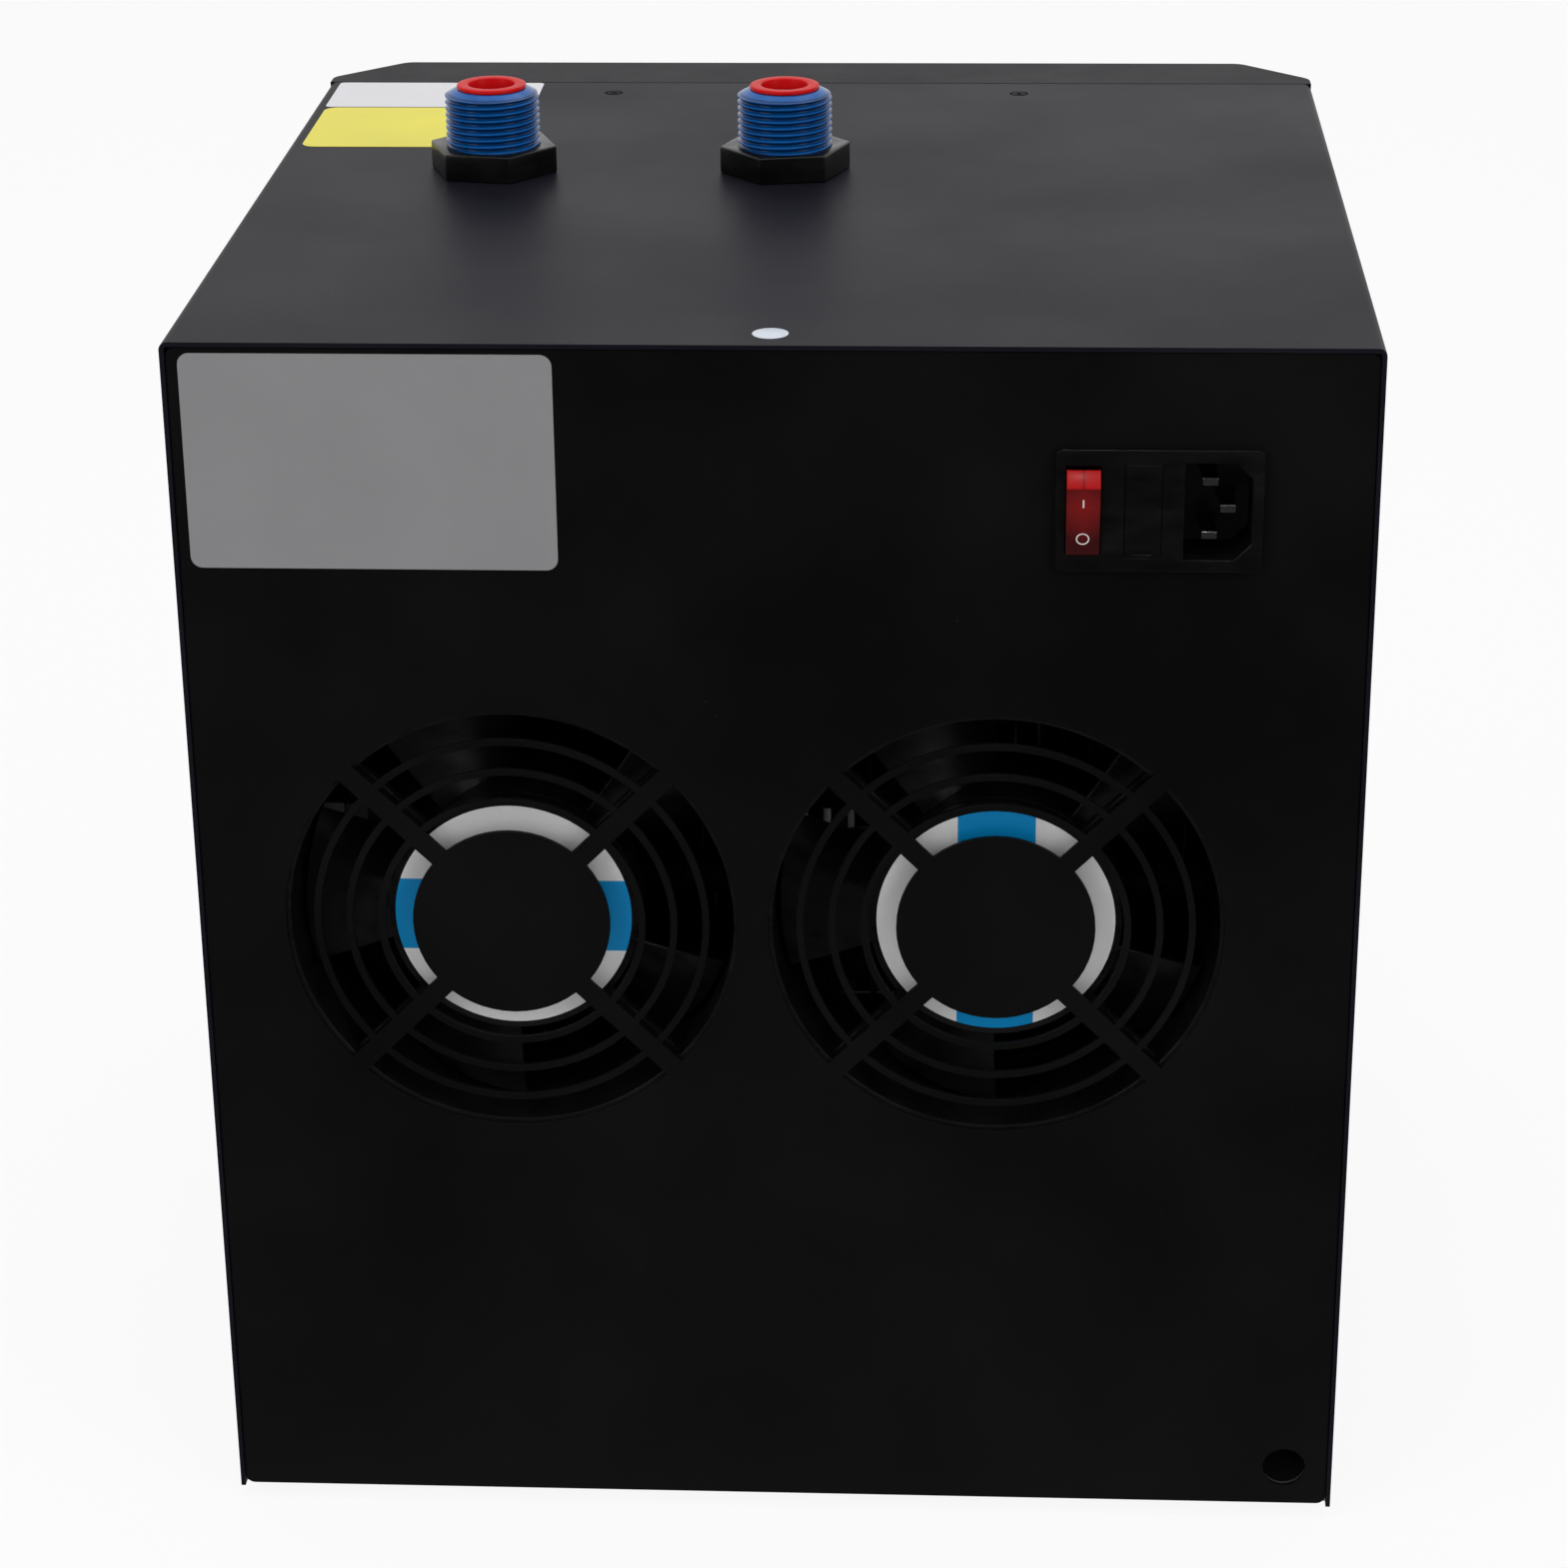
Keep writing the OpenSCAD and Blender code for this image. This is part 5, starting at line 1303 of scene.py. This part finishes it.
@dataclass
class Fans:
    """Both fans: frames, impellers, motor cores and hub labels."""

    bench: Bench
    palette: Palette
    edge: float = 0.3 * MM
    white: Point = (0.75, 0.75, 0.75)
    label_radius: float = 30.9 * MM
    label_thick: float = 0.1 * MM
    label_depth: float = 3.8 * MM
    bands: dict = field(default_factory=lambda: {"left": Band.ACROSS, "right": Band.UPRIGHT})

    def build(self) -> None:
        """Dresses the fans and sticks a label on each hub."""
        black = self.palette["fan_plastic"]
        for side, band in self.bands.items():
            node, body = f"fan_frame_{side}", f"fan_rotor_{side}"
            frame = self.bench.softened(node, f"fan_housing_{side}", self.edge)
            self.bench.fit_out(frame, "case", black, "fan_plastic", node)
            rotor = self.bench.copy_of(body, f"impeller_{side}")
            self.bench.smooth(rotor, angle=40)
            self.bench.fit_out(rotor, body, black, "fan_plastic", body)
            self.label(side, band)
        self.bench.paint(self.bench.frame["nodes"]["fan_stators"], self.palette["motor_core"])

    def label(self, side: str, band: Band) -> None:
        """Sticks the printed label on one hub.

        Args:
            side: Which fan.
            band: Which way its coloured band runs.
        """
        low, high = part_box(f"fan_frame_{side}")
        centre = (low + high) / 2
        name = f"hub_print_{side}"
        self.palette.add(HubPrint(
            name, self.white, 0.4, shine=0.12, band=band, centre=(centre.x, 0, centre.z)))
        r, t = self.label_radius, self.label_thick
        label = self.bench.turned(f"hub_label_{side}", [(r, 0), (r, t * 0.8), (r - t, t)])
        self.bench.put(label, (centre.x, high.y - self.label_depth, centre.z), (-90, 0, 0))
        self.bench.smooth(label)
        self.bench.fit_out(label, "case", self.palette[name], "fan_plastic")


@dataclass
class PowerInlet:
    """The mains inlet with its switch, its pins and its fuse drawer."""

    bench: Bench
    palette: Palette
    housing_edge: float = 0.25 * MM
    pin_edge: float = 0.3 * MM
    drawer_edge: float = 0.2 * MM
    rocker_edge: float = 0.3 * MM
    rocker_red: Point = (0.04, 0.004, 0.0045)
    film: float = 0.04 * MM
    bar: Pair = (0.36 * MM, 2.3 * MM)
    bar_corner_share: float = 0.3
    ring: float = 1.65 * MM
    line: float = 0.3 * MM
    mark_places: Pair = (-5.4 * MM, 4.9 * MM)
    face: float = 8.632 * MM
    tilt: float = 14.0

    def build(self) -> None:
        """Dresses the inlet and marks the switch."""
        black = self.palette["inlet_plastic"]
        housing = self.bench.softened("inlet_housing", "inlet_moulding", self.housing_edge)
        self.bench.fit_out(housing, "case", black, "inlet_black", "inlet_housing")
        pins = self.bench.softened("inlet_pins", "inlet_blades", self.pin_edge, 3)
        self.bench.fit_out(pins, "case", self.palette["pin_plate"], "pin", "inlet_pins")
        drawer = self.bench.softened("fuse_drawer", "fuse_tray", self.drawer_edge)
        self.bench.fit_out(drawer, "fuse_drawer", black, "inlet_black", "fuse_drawer")
        self.bench.paint(self.bench.frame["nodes"]["fuse"], self.palette["contact"])
        self.switch()
        self.marks()

    def switch(self) -> None:
        """Rounds the rocker and makes it of clear red plastic, with painted light on it."""
        middle = (sum(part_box("rocker"), Vector()) / 2).x
        height = (sum(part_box("inlet_housing"), Vector()) / 2).z
        self.palette.add(Lens("rocker_lens", self.rocker_red, 0.25, 0.14, centre=(middle, 0, height)))
        rocker = self.bench.softened("rocker", "rocker_key", self.rocker_edge, 3)
        self.bench.fit_out(rocker, "rocker", self.palette["rocker_lens"], "rocker_red", "rocker")

    def marks(self) -> None:
        """Prints a bar for on and a ring for off on the rocker's flat face."""
        joints = self.bench.frame["record"]["behaviour"]["joints"]
        pivot = next(joint["pos_m"] for joint in joints if joint["name"] == "rocker_tilt")
        t, inner = self.film, self.ring - self.line
        bar = self.bench.plate("mark_on", self.bar, self.bar[0] * self.bar_corner_share, t)
        ring = self.bench.turned("mark_off", [(self.ring, 0), (self.ring, t)], sides=48)
        self.bench.cut(ring, self.bench.turned("hole", [(inner, -t), (inner, 2 * t)], sides=48))
        for mark, place in zip((bar, ring), self.mark_places):
            self.bench.put(mark, (0, place, self.face))
            self.bench.put(mark, pivot, (-90 - self.tilt, 0, 0))
            self.bench.fit_out(mark, "rocker", self.palette["mark_white"], "rocker_red")


@dataclass
class Works:
    """What lies inside the case: the cooling circuit, the hoses, the boards and the wiring."""

    bench: Bench
    palette: Palette
    # The shroud and the condenser are near black: painted shade for the dark inside behind the fans.
    plain: dict = field(default_factory=lambda: {
        "fan_shroud": "panel_coat", "condenser_fins": "dip_coat", "condenser_plates": "dip_coat",
        "condenser_tubes": "dip_coat", "compressor_shell": "can_enamel", "compressor_feet": "rubber",
        "compressor_bolts": "clamp_band", "terminal_cover": "nut_plastic", "accumulator": "can_enamel",
        "exchanger_barrel": "vessel_plastic", "exchanger_cap": "vessel_plastic", "exchanger_jacket": "foam",
        "water_hoses": "rubber", "hose_clamps": "clamp_band", "port_gaskets": "rubber",
        "discharge_pipe": "copper_tube", "suction_pipe": "copper_tube", "liquid_line": "copper_tube",
        "filter_drier": "copper_tube", "power_board": "board", "board_posts": "post_plastic",
        "display_board": "board"})
    wound: dict = field(default_factory=lambda: {
        "exchanger_coil": ("titanium", "titanium"), "capillary_coil": ("copper_tube", "copper")})
    loom_radius: float = 3.8 * MM
    loom_gap: float = 8.0 * MM
    loom_board: float = 16.0 * MM
    loom_barrel: float = 12.0 * MM
    loom_tray: float = 2.0 * MM
    loom_fan: float = 3.0 * MM
    loom_post: float = 14.0 * MM

    def build(self) -> None:
        """Dresses the inner nodes, rounds the wound tubes and lays the loom."""
        for node, finish in self.plain.items():
            self.bench.paint(self.bench.frame["nodes"][node], self.palette[finish])
        for node, (finish, slot) in self.wound.items():
            piece = self.bench.rounded_tube(node, f"{node}_tube")
            self.bench.fit_out(piece, "case", self.palette[finish], slot, node)
        self.loom()

    def loom(self) -> None:
        """Runs the sleeved loom from the power board down to the tray and on to the fans."""
        board_low, board_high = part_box("power_board")
        fan_low, fan_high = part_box("fan_frame_right")
        gap = (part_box("compressor_shell")[1].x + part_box("exchanger_barrel")[0].x) / 2
        start, rail, board = board_high.x - self.loom_gap, board_high.y - self.loom_board, board_low.z
        drop, under = gap + self.loom_gap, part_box("exchanger_barrel")[0].y - self.loom_barrel
        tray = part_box("base_tray")[0].z + self.loom_tray + self.loom_radius
        post_x, post_y = fan_high.x + self.loom_fan, fan_low.y + self.loom_post
        points = [
            (start, rail, board + 6 * MM), (start, rail, board - 8 * MM), (drop, rail, board - 36 * MM),
            (drop, under, board - 80 * MM), (drop, under, tray + 60 * MM), (drop, under, tray + 24 * MM),
            (gap, under + 10 * MM, tray), (gap, under + 40 * MM, tray), (gap, 60 * MM, tray),
            (gap, fan_low.y - 4 * MM, tray), (post_x, post_y, tray + 16 * MM),
            (post_x, post_y, fan_low.z - 30 * MM), (post_x, post_y, fan_low.z - 1 * MM)]
        loom = self.bench.cable("wiring_loom", points, self.loom_radius)
        self.bench.fit_out(loom, "case", self.palette["sleeve"], "rubber")


@dataclass
class FrontPanel:
    """The louvred front with its window and buttons."""

    bench: Bench
    palette: Palette
    window_black: Point = (0.004, 0.004, 0.0045)
    window_edge: float = 0.4 * MM
    button_edge: float = 0.5 * MM
    buttons: tuple[str, ...] = ("power", "mode", "up", "down")

    def build(self) -> None:
        """Dresses the moulding, and rounds and dresses the window and the buttons."""
        self.bench.paint(self.bench.frame["nodes"]["front_panel"], self.palette["front_plastic"])
        low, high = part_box("display_window")
        centre = (low + high) / 2
        self.palette.add(Smoked("window_film", self.window_black, 0.08, 0.3, centre=(centre.x, 0, centre.z)))
        window = self.bench.softened("display_window", "smoked_window", self.window_edge, 3)
        self.bench.fit_out(window, "case", self.palette["window_film"], "window", "display_window")
        for key in self.buttons:
            node = f"button_{key}"
            cap = self.bench.softened(node, f"key_{key}", self.button_edge, 4)
            self.bench.fit_out(cap, node, self.palette["button_plastic"], "button", node)


@dataclass(frozen=True)
class SoftBox:
    """One lamp of the studio: a lit rectangle of some watts."""

    name: str
    at: Point
    size: Pair
    power: float


@dataclass
class Studio:
    """The camera, the light, the floor and the white background."""

    bench: Bench
    image: int = 1569
    focal_pixels: float = 4051.06
    sensor: float = 36.0
    eye: Point = (-0.05577, 1.09553, 0.62115)
    ahead: Point = (0.05147, -0.9186, -0.39182)
    upwards: Point = (0.01103, -0.39179, 0.91999)
    floor_size: float = 30.0
    floor_colour: Point = (0.86, 0.86, 0.86)
    floor_glow: float = 0.9
    ambient: float = 0.45
    dim: float = 0.06
    dusk: Pair = (-0.25, 0.35)
    aim: Point = (0, 0, 0.2)
    lamps: tuple[SoftBox, ...] = (
        SoftBox("overhead", (0.0, 0.3, 1.9), (1.6, 1.6), 10),
        SoftBox("left_box", (1.7, 1.3, 1.1), (1.0, 1.2), 10),
        SoftBox("right_box", (-1.7, 1.3, 1.1), (1.0, 1.2), 10),
        SoftBox("glint", (0.0, 0.45, 1.9), (0.3, 0.14), 2.5),
        SoftBox("front_box", (0.0, -1.6, 2.4), (1.4, 1.0), 5))

    def build(self) -> None:
        """Sets up everything that isn't the chiller."""
        bpy.context.scene.view_settings.view_transform = "Standard"
        self.camera()
        self.floor()
        self.world()
        for lamp in self.lamps:
            self.light(lamp)

    def camera(self) -> None:
        """Sets up the photograph's camera, which was solved from the case's edges."""
        data = bpy.data.cameras.new("camera")
        data.sensor_width = self.sensor
        data.lens = self.sensor * self.focal_pixels / self.image
        camera = bpy.data.objects.new("camera", data)
        bpy.context.scene.collection.objects.link(camera)
        camera.location = self.eye
        camera.rotation_mode = "QUATERNION"
        ahead, upwards = Vector(self.ahead), Vector(self.upwards)
        axes = Matrix((ahead.cross(upwards), upwards, -ahead)).transposed()
        camera.rotation_quaternion = axes.to_quaternion()
        bpy.context.scene.camera = camera

    def rays(self, g: Graph) -> tuple[Wire, Wire]:
        """Finds out which rays reach a material.

        Args:
            g: The material's graph.

        Returns:
            Camera and transmission rays, which see plain white, and glossy rays.
        """
        path = g.make("ShaderNodeLightPath", out="Is Camera Ray")
        outputs = path.socket.node.outputs
        return path + Wire(g, outputs["Is Transmission Ray"]), Wire(g, outputs["Is Glossy Ray"])

    def floor(self) -> None:
        """Lays a pale floor that keeps the shadow under the chiller."""
        self.bench.clear()
        bpy.ops.mesh.primitive_plane_add(size=self.floor_size, location=(0, 0, 0))
        floor = self.bench.named("floor")
        g = Graph("floor_paper")
        g.finish(Base_Color=self.floor_colour, Roughness=0.9, Specular_IOR_Level=0.1)
        straight, glossy = self.rays(g)
        behind = g.fit(g.axis(g.place(), "Y"), *self.dusk, 1.0, self.dim)
        glow = g.make("ShaderNodeEmission", {}, {"Color": (1, 1, 1), "Strength": straight + glossy * behind})
        share = straight * self.floor_glow + glossy
        mixed = g.make("ShaderNodeMixShader", {}, [share, Wire(g, g.shader.outputs[0]), glow])
        g.tree.links.new(mixed.socket, g.tree.nodes["Material Output"].inputs["Surface"])
        floor.data.materials.append(g.material)

    def world(self) -> None:
        """Makes the world white where it is seen, dim behind the camera in mirrors, soft grey elsewhere."""
        world = bpy.data.worlds.new("studio")
        bpy.context.scene.world = world
        world.use_nodes = True
        g = Graph.of(world.node_tree)
        back = g.tree.nodes["Background"]
        straight, glossy = self.rays(g)
        side = g.axis(g.make("ShaderNodeTexCoord", out="Generated"), "Y")
        mirrored = glossy * g.fit(side, *self.dusk, 1.0 - self.ambient, self.dim - self.ambient)
        g.set(back.inputs["Color"], (1, 1, 1))
        g.set(back.inputs["Strength"], straight * (1.0 - self.ambient) + mirrored + self.ambient)

    def light(self, box: SoftBox) -> None:
        """Sets up one soft box, turned towards the chiller.

        Args:
            box: Its name, place, size and power.
        """
        data = bpy.data.lights.new(box.name, "AREA")
        data.shape = "RECTANGLE"
        data.size, data.size_y = box.size
        data.energy = box.power
        lamp = bpy.data.objects.new(box.name, data)
        bpy.context.scene.collection.objects.link(lamp)
        lamp.location = box.at
        lamp.rotation_mode = "QUATERNION"
        lamp.rotation_quaternion = (Vector(self.aim) - Vector(box.at)).to_track_quat("-Z", "Y")


def main() -> None:
    """Loads the frame, builds each sub-assembly and sets up the studio."""
    logging.basicConfig(level=logging.INFO, format="%(name)s: %(message)s")
    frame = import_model()
    bench = Bench(frame)
    palette = Palette()
    palette.common()
    for kind in (CaseWork, WaterPorts, Fans, PowerInlet, Works, FrontPanel):
        kind(bench, palette).build()
        LOG.info("%s is built", kind.__name__)
    Studio(bench).build()
    bench.clear()


if __name__ == "__main__":
    main()
